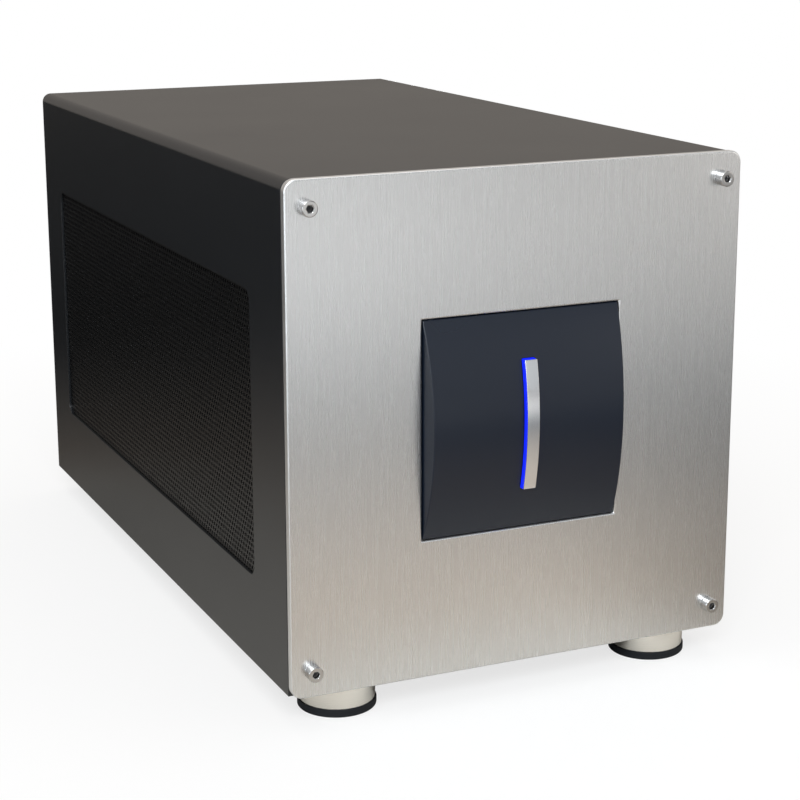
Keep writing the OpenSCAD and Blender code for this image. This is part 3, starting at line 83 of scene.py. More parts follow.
def reckon(tree, operation, *values, clamp=False):
    """The result of a Math node on the values."""
    return put(tree, "Math", {"operation": operation, "use_clamp": clamp},
               **{f"in_{place}": value for place, value in enumerate(values)}).outputs[0]


def ranged(tree, value, low, high, start=0.0, end=1.0):
    """start up to low, end from high on, and straight between them."""
    return put(tree, "MapRange", in_0=value, in_1=low, in_2=high, in_3=start,
               in_4=end).outputs[0]


def mixed(tree, share, one, other):
    """The first value at a share of 0, the other at 1."""
    return put(tree, "Mix", {"data_type": "FLOAT"}, in_0=share, in_2=one, in_3=other).outputs[0]


def mixed_colour(tree, share, one, other):
    return put(tree, "Mix", {"data_type": "RGBA"}, in_0=share, in_6=one, in_7=other).outputs[2]


def scaled(tree, colour, factor):
    """A colour or vector times a factor."""
    return put(tree, "VectorMath", {"operation": "SCALE"}, in_0=colour,
               Scale=factor).outputs["Vector"]


def colour_ramp(tree, value, tones):
    """A colour for the value, from a table of places between 0 and 1 and their colours."""
    ramp = put(tree, "ValToRGB", in_0=value)
    stops, places = ramp.color_ramp.elements, sorted(tones)
    stops[0].position, stops[1].position = places[0], places[-1]
    for place in places[1:-1]:
        stops.new(place)
    for stop, place in zip(stops, places):
        stop.color = tones[place]
    return ramp.outputs["Color"]


# ------------------------------------------------------------------ camera, light and floor

ROUGH_LEVEL = 0.42      # what the surroundings give to rough surfaces
RIGHT_LEVEL = 0.42      # what is left of the mirrored surroundings far to the right
# Painted light and shade of the mirrored floor, by the share of FLOOR_REACH metres from the middle
PAINTED_FLOOR_LIGHT = {0.12: (0.9, 0.86, 0.79, 1), 0.165: (0.67, 0.585, 0.5, 1),
               0.36: (0.27, 0.29, 0.31, 1), 0.57: WHITE}
FLOOR_REACH = 1.6


def place_camera():
    """The photograph's view: turned 24 degrees to the left, 13 degrees above the level."""
    turn, rise, roll = (math.radians(v) for v in (-24.12, 13.44, -0.19))
    target = Vector((0, -0.1638, 0.012))
    distance, sideways, raised = 0.7456, -0.047, 0.1146
    back = Vector((math.sin(turn) * math.cos(rise), -math.cos(turn) * math.cos(rise),
                   math.sin(rise)))
    right = Vector((math.cos(turn), math.sin(turn), 0))
    up = back.cross(right)
    across = math.cos(roll) * right + math.sin(roll) * up
    upward = math.cos(roll) * up - math.sin(roll) * right
    lens = bpy.data.cameras.new("photo_camera")
    lens.sensor_width = 36
    lens.lens = 88.01
    lens.shift_x = 0.0061
    lens.shift_y = -0.05
    lens.clip_start = 0.01
    camera = bpy.data.objects.new("photo_camera", lens)
    camera.matrix_world = Matrix.Translation(
        target + back * distance + across * sideways + upward * raised
    ) @ Matrix((across, upward, back)).transposed().to_4x4()
    bpy.context.collection.objects.link(camera)
    bpy.context.scene.camera = camera


def softbox(name, place, aim, size, power, tint):
    """A rectangular area lamp at a place, turned to its aim."""
    lamp = bpy.data.lights.new(name, "AREA")
    lamp.shape = "RECTANGLE"
    lamp.size, lamp.size_y = size
    lamp.energy = power
    lamp.color = tint
    box = bpy.data.objects.new(name, lamp)
    box.matrix_world = Matrix.Translation(place) @ (
        Vector(aim) - Vector(place)).to_track_quat("-Z", "Y").to_matrix().to_4x4()
    bpy.context.collection.objects.link(box)


def towards_left(tree, way):
    """1 ahead of the panel and to the left, falling off to the right of it."""
    ahead = reckon(tree, "MAXIMUM", reckon(tree, "MULTIPLY", way["Y"], -1.0), 0.05)
    slant = reckon(tree, "DIVIDE", way["X"], ahead)
    fall = ranged(tree, slant, 0.25, 0.75, 1.0, RIGHT_LEVEL)
    back = ranged(tree, way["Y"], -0.1, 0.1)
    return mixed(tree, back, fall, 1.0)


def light_studio():
    """Five soft lamps, and surroundings that are white to the camera alone."""
    softbox("key_left", (-0.7, -1.6, 1.4), (0, -0.1, 0.12), (1.1, 0.8), 26, (0.93, 0.97, 1))
    softbox("side_left", (-1.5, -0.7, 0.35), (0, -0.1, 0.1), (0.7, 0.5), 5, (0.84, 0.93, 1))
    softbox("warm_right", (1.3, -1.2, 0.4), (0, -0.1, 0.1), (0.8, 0.8), 3, (1, 0.93, 0.85))
    softbox("rear_low", (0.35, 1.6, 0.095), (0, 0.1, 0.1), (0.9, 0.15), 6, (0.96, 0.98, 1))
    softbox("overhead", (0.1, 0.3, 1.7), (0, 0.1, 0.2), (1.6, 1.6), 8, (1, 0.94, 0.88))
    world = bpy.data.worlds.new("studio")
    bpy.context.scene.world = world
    world.use_nodes = True
    tree = world.node_tree
    tree.nodes.clear()
    path = put(tree, "LightPath").outputs
    way = put(tree, "SeparateXYZ", in_0=put(tree, "TexCoord").outputs["Generated"]).outputs
    mirrored = reckon(tree, "MAXIMUM", path["Is Glossy Ray"], path["Is Transmission Ray"])
    behind = ranged(tree, way["Y"], -0.3, 0.5, 0.95, 0.4)
    glossy = reckon(tree, "MULTIPLY", towards_left(tree, way), behind)
    level = mixed(tree, mirrored, ROUGH_LEVEL, glossy)
    warm = ranged(tree, way["Y"], -0.2, 0.4)
    tint = mixed_colour(tree, warm, (0.95, 0.98, 1, 1), (1, 0.91, 0.82, 1))
    studio = put(tree, "Background", Color=tint, Strength=level)
    white = put(tree, "Background", Color=WHITE, Strength=1.0)
    mix = put(tree, "MixShader", in_0=path["Is Camera Ray"], in_1=studio.outputs[0],
              in_2=white.outputs[0])
    put(tree, "OutputWorld", Surface=mix.outputs[0])


def lay_floor():
    """A white sweep that stays white to the camera and still takes the object's shadow.

    What the object mirrors of it has painted light and shade: it is painted dimmer behind and
    to the right and brighter close to the object, as in a studio whose sweep is lit from the front
    left.
    """
    bm = bmesh.new()
    bmesh.ops.create_circle(bm, cap_ends=True, segments=96, radius=4)
    mesh = bpy.data.meshes.new("floor")
    bm.to_mesh(mesh)
    bm.free()
    floor = bpy.data.objects.new("floor", mesh)
    bpy.context.collection.objects.link(floor)
    mat = bpy.data.materials.new("floor_white")
    mat.use_nodes = True
    tree = mat.node_tree
    tree.nodes.clear()
    camera = put(tree, "LightPath").outputs["Is Camera Ray"]
    at = put(tree, "TexCoord").outputs["Object"]
    place = put(tree, "SeparateXYZ", in_0=at).outputs
    away = put(tree, "VectorMath", {"operation": "LENGTH"}, in_0=at).outputs["Value"]
    # Painted light on the floor as the object mirrors it: darker behind, brighter close by and to
    # the left
    behind = ranged(tree, place["Y"], -0.3, 0.5, 1.0, 0.03)
    close = ranged(tree, away, 0.19, 0.27, 1.0, 0.0)
    beside = reckon(tree, "MAXIMUM", close, towards_left(tree, place))
    level = reckon(tree, "MULTIPLY", behind, beside)
    # Painted tones of the floor, warm near the object and darker further out
    tone = colour_ramp(tree, ranged(tree, away, 0.0, FLOOR_REACH), PAINTED_FLOOR_LIGHT)
    colour = mixed_colour(tree, camera, scaled(tree, tone, level), WHITE)
    paint = put(tree, "BsdfDiffuse", Color=colour)
    glow = put(tree, "Emission", Color=WHITE)
    glowing = reckon(tree, "MULTIPLY", camera, ranged(tree, away, 0.2, 0.5, 0.74, 1.0))
    mix = put(tree, "MixShader", in_0=glowing, in_1=paint.outputs[0], in_2=glow.outputs[0])
    put(tree, "OutputMaterial", Surface=mix.outputs[0])
    mesh.materials.append(mat)


# ------------------------------------------------------------------ effects shared by finishes

OUTPUT_KINDS = {"Color": "Color", "Roughness": "Float", "Metallic": "Float", "Normal": "Vector"}


class Effect:
    """A shader node group in the making, with named inputs and outputs."""

    def __init__(self, name, inputs, outputs=("Color", "Roughness", "Normal")):
        self.tree = bpy.data.node_groups.new(name, "ShaderNodeTree")
        for title, kind, value in inputs:
            socket = self.tree.interface.new_socket(title, in_out="INPUT",
                                                    socket_type="NodeSocket" + kind)
            socket.default_value = value
        for title in outputs:
            self.tree.interface.new_socket(title, in_out="OUTPUT",
                                           socket_type="NodeSocket" + OUTPUT_KINDS[title])
        self.given = self.tree.nodes.new("NodeGroupInput").outputs
        self.result = self.tree.nodes.new("NodeGroupOutput").inputs

    def put(self, kind, settings=None, **inputs):
        return put(self.tree, kind, settings, **inputs)

    def reckon(self, operation, *values, clamp=False):
        return reckon(self.tree, operation, *values, clamp=clamp)

    def place(self, kind="Object"):
        return self.put("TexCoord").outputs[kind]

    def noise(self, at, size, **more):
        return self.put("TexNoise", Vector=at, Scale=size, **more).outputs["Fac"]

    def around_one(self, value, spread):
        """1 + (value - 0.5) * spread, as a factor for a colour or a roughness."""
        return self.reckon("MULTIPLY_ADD", self.reckon("SUBTRACT", value, 0.5), spread, 1.0)

    def give(self, title, socket):
        self.tree.links.new(socket, self.result[title])

    def give_toned(self, factor):
        """Puts out the given colour times the factor."""
        self.give("Color", scaled(self.tree, self.given["Color"], factor))

    def give_sheen(self, factor):
        """Puts out the given roughness times the factor."""
        self.give("Roughness", self.reckon("MULTIPLY", self.given["Roughness"], factor,
                                           clamp=True))

    def give_bump(self, strength, distance, height):
        bump = self.put("Bump", Strength=strength, Distance=distance, Height=height)
        self.give("Normal", bump.outputs["Normal"])


def grain_effect():
    """Fine grain of paint and moulded plastic, with a slow drift of tone and sheen."""
    e = Effect("surface_grain",
               [("Color", "Color", (0.5, 0.5, 0.5, 1)), ("Roughness", "Float", 0.5),
                ("Size", "Float", 1500.0), ("Depth", "Float", 0.1), ("Tone", "Float", 0.1),
                ("Sheen", "Float", 0.15)])
    i, at = e.given, e.place()
    fine = e.noise(at, i["Size"], Detail=3.0, Roughness=0.6)
    drift = e.noise(at, 14.0, Detail=4.0, Roughness=0.55)
    specks = e.noise(at, 260.0, Detail=2.0)
    e.give_toned(e.reckon("MULTIPLY", e.around_one(drift, i["Tone"]),
                          e.around_one(specks, i["Tone"])))
    e.give_sheen(e.around_one(drift, i["Sheen"]))
    e.give_bump(i["Depth"], 0.0002, fine)
    return e.tree


def brushed_effect():
    """Straight brushing along the axis whose share of Stretch is small."""
    e = Effect("brushed_lines",
               [("Color", "Color", (0.7, 0.7, 0.7, 1)), ("Roughness", "Float", 0.35),
                ("Stretch", "Vector", (2600, 2600, 30)), ("Depth", "Float", 0.15),
                ("Tone", "Float", 0.2), ("Sheen", "Float", 0.3)])
    i, at = e.given, e.place()
    drawn_out = e.put("VectorMath", {"operation": "MULTIPLY"}, in_0=at,
                      in_1=i["Stretch"]).outputs["Vector"]
    lines = e.noise(drawn_out, 1.0, Detail=2.0, Roughness=0.5)
    wide = e.noise(scaled(e.tree, drawn_out, 0.35), 1.0, Detail=1.0)
    drift = e.noise(at, 9.0, Detail=3.0)
    line = mixed(e.tree, 0.25, lines, wide)
    e.give_toned(e.reckon("MULTIPLY", e.around_one(line, i["Tone"]),
                          e.around_one(drift, 0.06)))
    e.give_sheen(e.around_one(line, i["Sheen"]))
    e.give_bump(i["Depth"], 0.0001, line)
    return e.tree


def turned_effect():
    """Fine rings left by a lathe on a foot or a screw that stands along Axis."""
    e = Effect("turned_rings",
               [("Color", "Color", (0.7, 0.7, 0.7, 1)), ("Roughness", "Float", 0.3),
                ("Axis", "Vector", (0, 0, 1)), ("Pitch", "Float", 3500.0),
                ("Depth", "Float", 0.2), ("Tone", "Float", 0.15)])
    i, at = e.given, e.place()
    along = e.put("VectorMath", {"operation": "DOT_PRODUCT"}, in_0=at, in_1=i["Axis"])
    rings = e.put("TexNoise", {"noise_dimensions": "1D"}, W=along.outputs["Value"],
                  Scale=i["Pitch"], Detail=3.0).outputs["Fac"]
    drift = e.noise(at, 60.0, Detail=2.0)
    e.give_toned(e.around_one(rings, i["Tone"]))
    e.give_sheen(e.around_one(drift, 0.35))
    e.give_bump(i["Depth"], 0.0001, rings)
    return e.tree


def plated_effect():
    """Zinc plating: soft blotches of tone with a trace of yellow and blue."""
    e = Effect("plated_bloom",
               [("Color", "Color", (0.6, 0.6, 0.6, 1)), ("Bloom", "Color", (0.7, 0.66, 0.5, 1)),
                ("Roughness", "Float", 0.35), ("Size", "Float", 120.0)])
    i, at = e.given, e.place()
    blotch = e.noise(at, i["Size"], Detail=5.0, Distortion=0.6)
    e.give("Color", mixed_colour(e.tree, blotch, i["Color"], i["Bloom"]))
    e.give_sheen(e.around_one(blotch, 0.5))
    e.give_bump(0.08, 0.0001, e.noise(at, 2200.0, Detail=2.0))
    return e.tree


def braid_effect():
    """Diamond braid of a sleeved lead, on the tube's own UV map."""
    e = Effect("braided_sleeve",
               [("Color", "Color", (0.03, 0.03, 0.03, 1)), ("Glint", "Color", (0.1, 0.1, 0.1, 1)),
                ("Along", "Float", 200.0), ("Around", "Float", 12.0)])
    i = e.given
    uv = e.put("SeparateXYZ", in_0=e.place("UV")).outputs
    run = e.reckon("MULTIPLY", uv["X"], i["Along"])
    girth = e.reckon("MULTIPLY", uv["Y"], i["Around"])
    waves = []
    for lean in ("ADD", "SUBTRACT"):
        turns = e.reckon(lean, run, girth)
        waves.append(e.reckon("SINE", e.reckon("MULTIPLY", turns, 2 * math.pi)))
    raised = ranged(e.tree, e.reckon("MULTIPLY", *waves), -1.0, 1.0)
    # Raised strands are painted lighter as highlight, the hollows between them darker as painted
    # shade
    e.give("Color", mixed_colour(e.tree, raised, i["Color"], i["Glint"]))
    e.give("Roughness", ranged(e.tree, raised, 0.0, 1.0, 0.75, 0.45))
    e.give_bump(0.5, 0.0003, raised)
    return e.tree


def track_effect():
    """Board under solder mask: tracks in patches of 4 mm, and tinned holes between them."""
    e = Effect("board_tracks",
               [("Mask", "Color", (0.01, 0.05, 0.03, 1)), ("Track", "Color", (0.02, 0.1, 0.06, 1)),
                ("Pad", "Color", (0.7, 0.66, 0.55, 1)), ("Size", "Float", 330.0)],
               ("Color", "Roughness", "Metallic", "Normal"))
    i, at = e.given, e.place()
    patch = e.put("VectorMath", {"operation": "SNAP"}, in_0=at, in_1=(0.004, 0.004, 0.004))
    chance = e.put("TexWhiteNoise", {"noise_dimensions": "3D"}, Vector=patch.outputs["Vector"])
    lengthwise = e.reckon("GREATER_THAN", chance.outputs["Value"], 0.5)
    parts = e.put("SeparateXYZ", in_0=at).outputs
    run = mixed(e.tree, lengthwise, parts["X"], parts["Y"])
    line = e.reckon("LESS_THAN", e.reckon("FRACT", e.reckon("MULTIPLY", run, i["Size"])), 0.38)
    routed = e.reckon("GREATER_THAN", e.noise(at, 45.0, Detail=0.0), 0.47)
    track = e.reckon("MULTIPLY", line, routed)
    dots = e.put("TexVoronoi", Vector=at, Scale=240.0, Randomness=0.9).outputs
    hole = e.reckon("MULTIPLY", e.reckon("LESS_THAN", dots["Distance"], 0.13),
                    e.reckon("GREATER_THAN", dots["Color"], 0.55))
    under = mixed_colour(e.tree, track, i["Mask"], i["Track"])
    e.give("Color", mixed_colour(e.tree, hole, under, i["Pad"]))
    e.give("Metallic", hole)
    e.give("Roughness", ranged(e.tree, hole, 0.0, 1.0, 0.38, 0.3))
    e.give_bump(0.5, 0.00005, e.reckon("ADD", track, hole))
    return e.tree


grain, brushed, turned = grain_effect(), brushed_effect(), turned_effect()
plated, braid, tracks = plated_effect(), braid_effect(), track_effect()


# ------------------------------------------------------------------ finishes

def finish(name, effect, values, metallic=0.0, specular=0.5):
    """A material whose colour, roughness and bump come from one shared effect."""
    mat = bpy.data.materials.new(name)
    mat.use_nodes = True
    tree = mat.node_tree
    shader = tree.nodes["Principled BSDF"]
    shader.inputs["Metallic"].default_value = metallic
    shader.inputs["Specular IOR Level"].default_value = specular
    group = tree.nodes.new("ShaderNodeGroup")
    group.node_tree = effect
    for key, value in values.items():
        group.inputs[key].default_value = value
    for output in group.outputs:
        socket = "Base Color" if output.name == "Color" else output.name
        tree.links.new(output, shader.inputs[socket])
    return mat


def rgb(r, g, b):
    return (r, g, b, 1.0)


def grained(name, colour, roughness, size=1500.0, depth=0.1, tone=0.1, **more):
    """Paint, plastic or rubber: size is the grain's fineness per metre."""
    return finish(name, grain, {"Color": rgb(*colour), "Roughness": roughness, "Size": size,
                                "Depth": depth, "Tone": tone}, **more)


def lit(name, colour, strength):
    """Clear plastic lit from behind, its glow a little uneven."""
    mat = grained(name, colour, 0.25, depth=0.03)
    tree = mat.node_tree
    shader = tree.nodes["Principled BSDF"]
    shader.inputs["Emission Strength"].default_value = strength
    cloud = put(tree, "TexNoise", Vector=put(tree, "TexCoord").outputs["Object"], Scale=60.0,
                Detail=1.0)
    glow = scaled(tree, colour, ranged(tree, cloud.outputs["Fac"], 0.3, 0.7, 0.85, 1.1))
    tree.links.new(glow, shader.inputs["Emission Color"])
    return mat


FINISH = {
    "panel": finish("brushed_panel", brushed,
                    {"Color": rgb(0.72, 0.722, 0.725), "Roughness": 0.27,
                     "Stretch": (3600, 3600, 52), "Depth": 0.1, "Tone": 0.13, "Sheen": 0.25},
                    metallic=1.0),
    "bright": finish("polished_steel", turned,
                     {"Color": rgb(0.5, 0.495, 0.49), "Roughness": 0.1, "Axis": (0, 1, 0),
                      "Depth": 0.05, "Tone": 0.06}, metallic=1.0),
    "badge": grained("badge_satin", (0.0048, 0.009, 0.019), 0.28, size=2600.0, depth=0.06,
                     specular=0.45),
    "bar": finish("bar_silver", brushed,
                  {"Color": rgb(0.78, 0.79, 0.81), "Roughness": 0.16, "Stretch": (3000, 3000, 60),
                   "Depth": 0.06, "Tone": 0.08, "Sheen": 0.2}, metallic=1.0),
    "light": lit("blue_light", (0.005, 0.016, 0.85), 1.1),
    "cover": grained("cover_paint", (0.0108, 0.0122, 0.0144), 0.3, size=2200.0, tone=0.08),
    "mesh": grained("mesh_paint", (0.011, 0.011, 0.0115), 0.3, size=2600.0, depth=0.06),
    "chassis": grained("chassis_paint", (0.028, 0.028, 0.03), 0.44, size=1900.0, depth=0.2),
    "zinc": finish("zinc_plating", plated, {"Color": rgb(0.6, 0.6, 0.6)}, metallic=1.0),
    "black_screw": grained("black_oxide", (0.02, 0.02, 0.022), 0.36, size=3000.0, depth=0.05,
                           metallic=0.6),
    "foot": finish("turned_foot", turned,
                   {"Color": rgb(0.86, 0.84, 0.8), "Roughness": 0.24, "Pitch": 2600.0,
                    "Depth": 0.16, "Tone": 0.14}, metallic=1.0),
    "rubber": grained("foot_rubber", (0.005, 0.0065, 0.0095), 0.7, size=1400.0, depth=0.25,
                      specular=0.3),
    "board": finish("board_mask", tracks, {}),
    "brass": finish("brass", plated, {"Color": rgb(0.72, 0.52, 0.24),
                                      "Bloom": rgb(0.6, 0.42, 0.2), "Roughness": 0.28},
                    metallic=1.0),
    "black_plastic": grained("moulded_black", (0.016, 0.016, 0.017), 0.48, size=1300.0,
                             depth=0.18),
    "chip": grained("chip_epoxy", (0.012, 0.012, 0.013), 0.55, size=2400.0, depth=0.3),
    "sink": finish("black_anodised", brushed,
                   {"Color": rgb(0.03, 0.03, 0.032), "Roughness": 0.4,
                    "Stretch": (2500, 60, 60), "Depth": 0.1}, metallic=0.5),
    "parts": grained("part_sleeve", (0.02, 0.025, 0.04), 0.35, depth=0.05),
    "plug": grained("natural_nylon", (0.62, 0.58, 0.47), 0.45, size=1100.0, depth=0.12),
    "psu": grained("supply_paint", (0.035, 0.035, 0.037), 0.42, depth=0.25),
    "steel": finish("satin_steel", brushed,
                    {"Color": rgb(0.5, 0.5, 0.5), "Roughness": 0.34,
                     "Stretch": (60, 2400, 2400), "Depth": 0.1, "Tone": 0.14}, metallic=1.0),
    "lead": finish("black_sleeving", braid, {}),
    "red_lead": grained("red_insulation", (0.4, 0.02, 0.015), 0.4, size=1200.0, depth=0.06),
}
# Narrow sides of the panel: rougher satin, and lighter than the face as painted highlight
panel_edge_painted_highlight = finish("panel_edge_painted_highlight", turned, {"Color": rgb(0.82, 0.83, 0.84), "Roughness": 0.42,
                                           "Axis": (0, 1, 0), "Depth": 0.08, "Tone": 0.08},
                    metallic=1.0)
gold = finish("gold_contact", plated, {"Color": rgb(0.83, 0.6, 0.25),
                                       "Bloom": rgb(0.75, 0.52, 0.2), "Roughness": 0.22},
              metallic=1.0)
tin = finish("tinned_leg", plated, {"Color": rgb(0.7, 0.7, 0.68),
                                    "Bloom": rgb(0.6, 0.6, 0.6), "Roughness": 0.3}, metallic=1.0)
# Walls of the holes: painted dark as shade, in a rough and dull paint
painted_shade_hole_wall = grained("painted_shade_hole_wall", (0.0015, 0.0015, 0.0018), 0.7, size=2600.0, depth=0.05,
                    specular=0.12)
guide_frost = grained("guide_frost", (0.1, 0.13, 0.3), 0.4, size=1800.0, depth=0.15)
ferrite = grained("coil_ferrite", (0.05, 0.05, 0.052), 0.6, size=900.0, depth=0.3)
lamp_white = lit("lamp_lens", (0.2, 0.4, 1.0), 1.5)
header_white = grained("header_nylon", (0.6, 0.58, 0.52), 0.45)


# ------------------------------------------------------------------ copies of the CAD nodes

SHARP_TURN = 32         # degrees between two faces from which their edge is broken
SHADING_TURN = 40       # degrees up to which two faces are shaded as one


def add_piece(name, bm, materials, like, slot=None):
    """The bmesh as a piece that rides with its node's body, its shading even over flat faces."""
    mesh = bpy.data.meshes.new(name)
    bm.to_mesh(mesh)
    bm.free()
    for mat in materials:
        mesh.materials.append(mat)
    mesh.polygons.foreach_set("use_smooth", [True] * len(mesh.polygons))
    mesh.set_sharp_from_angle(angle=math.radians(SHADING_TURN))
    piece = bpy.data.objects.new(name, mesh)
    bpy.context.collection.objects.link(piece)
    even = piece.modifiers.new("even_shading", "WEIGHTED_NORMAL")
    even.keep_sharp = True
    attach(piece, node_bodies[like])
    slot or node_slots[like]
    return piece


def merged(node):
    """A copy of a CAD node's mesh with its doubles merged and its flat faces joined."""
    bm = bmesh.new()
    bm.from_mesh(nodes[node].data)
    bmesh.ops.remove_doubles(bm, verts=bm.verts, dist=0.002 * MM)
    bmesh.ops.dissolve_limit(bm, angle_limit=math.radians(0.4), verts=bm.verts, edges=bm.edges,
                             use_dissolve_boundaries=False, delimit=set())
    return bm


def break_edges(bm, width, segments):
    """Bevels every sharp edge, by a width in millimetres."""
    sharp = [e for e in bm.edges if len(e.link_faces) == 2
             and e.calc_face_angle(0) > math.radians(SHARP_TURN)]
    bmesh.ops.bevel(bm, geom=sharp, offset=width * MM, offset_type="OFFSET", affect="EDGES",
                    segments=segments, profile=0.5, material=-1, clamp_overlap=False,
                    loop_slide=True, miter_outer="SHARP", miter_inner="SHARP")


def dress(node, width, segments, materials=None, pick=None, cut=None):
    """Replaces a CAD node by a copy with its edges broken; pick gives a face's material.

    pick gets the face's middle in millimetres and its normal. cut is a place along Y in
    millimetres where the faces are parted, so that pick can tell them apart.
    """
    bm = merged(node)
    if cut is not None:
        bmesh.ops.bisect_plane(bm, geom=bm.verts[:] + bm.edges[:] + bm.faces[:],
                               dist=0.001 * MM, plane_co=(0, cut * MM, 0), plane_no=(0, 1, 0))
    if pick:
        for face in bm.faces:
            face.material_index = pick(face.calc_center_median() / MM, face.normal)
    if width:
        break_edges(bm, width, segments)
    piece = add_piece(node + "_looks", bm, materials or [FINISH[node_slots[node]]], node)
    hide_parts(node)


def carry_over():
    """The nodes whose look needs no more than broken edges and their finish.

    Each has the width of its edges in millimetres and their number of segments.
    """
    edges = {
        "badge_bezel": (0.35, 3), "light_bar": (0.2, 2), "cover": (0.15, 2),
        "base_tray": (0.12, 1), "rear_panel": (0.12, 1), "slot_frame": (0.12, 1),
        "press_nuts": (0.15, 1), "rear_rivets": (0.2, 2), "slot_covers": (0.12, 1),
        "slot_screws": (0.15, 2), "thumbscrew_left": (0.15, 2), "thumbscrew_right": (0.15, 2),
        "feet": (0.25, 2), "foot_pads": (0.25, 2), "foot_screws": (0.2, 2),
        "badge_screws": (0.12, 1), "main_board": (0.1, 1), "standoffs": (0.12, 1),
        "board_screws": (0.15, 2), "card_slot": (0.15, 1), "slot_latch": (0.2, 2),
        "controller_chip": (0.1, 1), "heatsink": (0.12, 1), "power_header": (0.15, 1),
        "power_plug": (0.3, 2), "data_port": (0.08, 1), "port_tongue": (0.05, 1),
        "psu_case": (0.12, 1), "psu_screws": (0.2, 2), "psu_rest": (0.15, 1),
        "inlet_socket": (0.3, 2), "inlet_pins": (0.15, 2), "switch_bezel": (0.3, 2),
        "power_rocker": (0.4, 3), "psu_fan_frame": (0.25, 1), "psu_rotor": (0, 1),
        "psu_fan_guard": (0, 1), "psu_fan_screws": (0.15, 2), "fan_bracket": (0.12, 1),
        "bracket_screws": (0.15, 2), "fan_frame": (0.3, 1), "fan_rotor": (0, 1),
        "fan_screws": (0.15, 2), "card_plug": (0.4, 2), "lead_clip": (0.12, 1),
        "lead_grommets": (0.3, 2),
    }
    for node, (width, segments) in edges.items():
        dress(node, width, segments)


def dress_panel():
    """Brushed face with rounded edges; its narrow sides are plain satin,
    painted lighter than the face as highlight.
    """
    dress("front_panel", 0.7, 3, materials=[FINISH["panel"], panel_edge_painted_highlight],
          pick=lambda at, way: int(abs(way.y) < 0.5))


def dress_light_guide():
    """Clear block that glows ahead of the panel's face and is frosted behind it."""
    panel_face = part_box("front_panel")[0][1] / MM
    dress("light_guide", 0.15, 2, materials=[FINISH["light"], guide_frost],
          pick=lambda at, way: int(at.y > panel_face), cut=panel_face)


def dress_panel_screws():
    """Polished cap screws, each hexagon socket's floor painted dark as shade, its walls bright."""
    low, high = (Vector(v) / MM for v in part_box("panel_screws"))
    head_radius, socket_radius, below_face = 3, 1.4, 0.5

    def painted_shade_in_socket(at, way):
        x = abs(at.x) - (high.x - head_radius)
        z = abs(at.z - (low.z + high.z) / 2) - ((high.z - low.z) / 2 - head_radius)
        return int(math.hypot(x, z) < socket_radius * 1.05 and way.y < -0.5
                   and at.y > low.y + below_face)

    # The floor of each socket gets the black finish as painted shade
    dress("panel_screws", 0.45, 4, materials=[FINISH["bright"], FINISH["black_screw"]],
          pick=painted_shade_in_socket)


def dress_boards():
    """The light board with its lamps, and the small parts of the main board."""
    lamp_front, lamp_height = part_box("led_board")[0][1] / MM, 1.4
    dress("led_board", 0.1, 1, materials=[FINISH["board"], lamp_white],
          pick=lambda at, way: int(at.y < lamp_front + lamp_height - 0.01))
    low, high = (Vector(v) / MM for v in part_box("board_parts"))
    header_end, cans_end, coils_end = low.y + 4.1, low.x + 7.05, low.x + 19.5
    sleeve, can_top, coil, chip, header = range(5)

    def kind(at, way):
        if at.y < header_end:
            return header
        if at.x < cans_end:
            return can_top if way.z > 0.5 and at.z > high.z - 0.1 else sleeve
        return coil if at.x < coils_end else chip

    dress("board_parts", 0.3, 2, pick=kind,
          materials=[FINISH["parts"], tin, ferrite, FINISH["chip"], header_white])


def add_block(bm, size, middle):
    """A small block added to the bmesh, its size and middle in millimetres."""
    made = bmesh.ops.create_cube(bm, size=1)["verts"]
    bmesh.ops.scale(bm, verts=made, vec=Vector(size) * MM)
    bmesh.ops.translate(bm, verts=made, vec=Vector(middle) * MM)


def fit_slot_contacts():
    """Two rows of gilt spring contacts down the walls of the card slot's groove."""
    low, high = (Vector(v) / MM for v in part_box("card_slot"))
    contact, pitch, from_middle, below_top = (0.22, 0.5, 6.2), 1.0, 0.8, 4.6
    length, key_width, beside_key = 89, 1.8, 0.6
    first, key, last = high.y - length + 3.6, high.y - length + 14.2, high.y - 3.4
    bm = bmesh.new()
    for start, end in ((first, key - beside_key), (key + key_width + beside_key, last)):
        for i in range(int((end - start) / pitch) + 1):
            for side in (-1, 1):
                add_block(bm, contact, ((low.x + high.x) / 2 + side * from_middle,
                                        start + i * pitch, high.z - below_top))
    add_piece("slot_contacts", bm, [gold], "card_slot", slot="brass")


def fit_chip_legs():
    """Tinned legs down both sides of the four small chips."""
    low = Vector(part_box("board_parts")[0]) / MM
    left, right, front = low.x + 22.65, low.x + 32.35, low.y + 18.8
    chip_step, leg_step = 11, 0.9
    bm = bmesh.new()
    for chip in range(4):
        for leg in range(7):
            y = front + chip_step * chip + leg_step * leg
            for x, inwards in ((left, 1), (right, -1)):
                add_block(bm, (0.9, 0.35, 0.2), (x, y, low.z + 0.1))
                add_block(bm, (0.3, 0.35, 0.7), (x + inwards * 0.3, y, low.z + 0.35))
    add_piece("chip_legs", bm, [tin], "board_parts", slot="steel")


# ------------------------------------------------------------------ perforated side sheets

HOLE_PITCH = 2.55
HOLE_WIDTH = 1.7
HOLE_CORNER = HOLE_WIDTH * 0.55     # from the middle: as open as the round hole
LAP_WIDTH = 6                       # plain edge of the sheet behind the cover


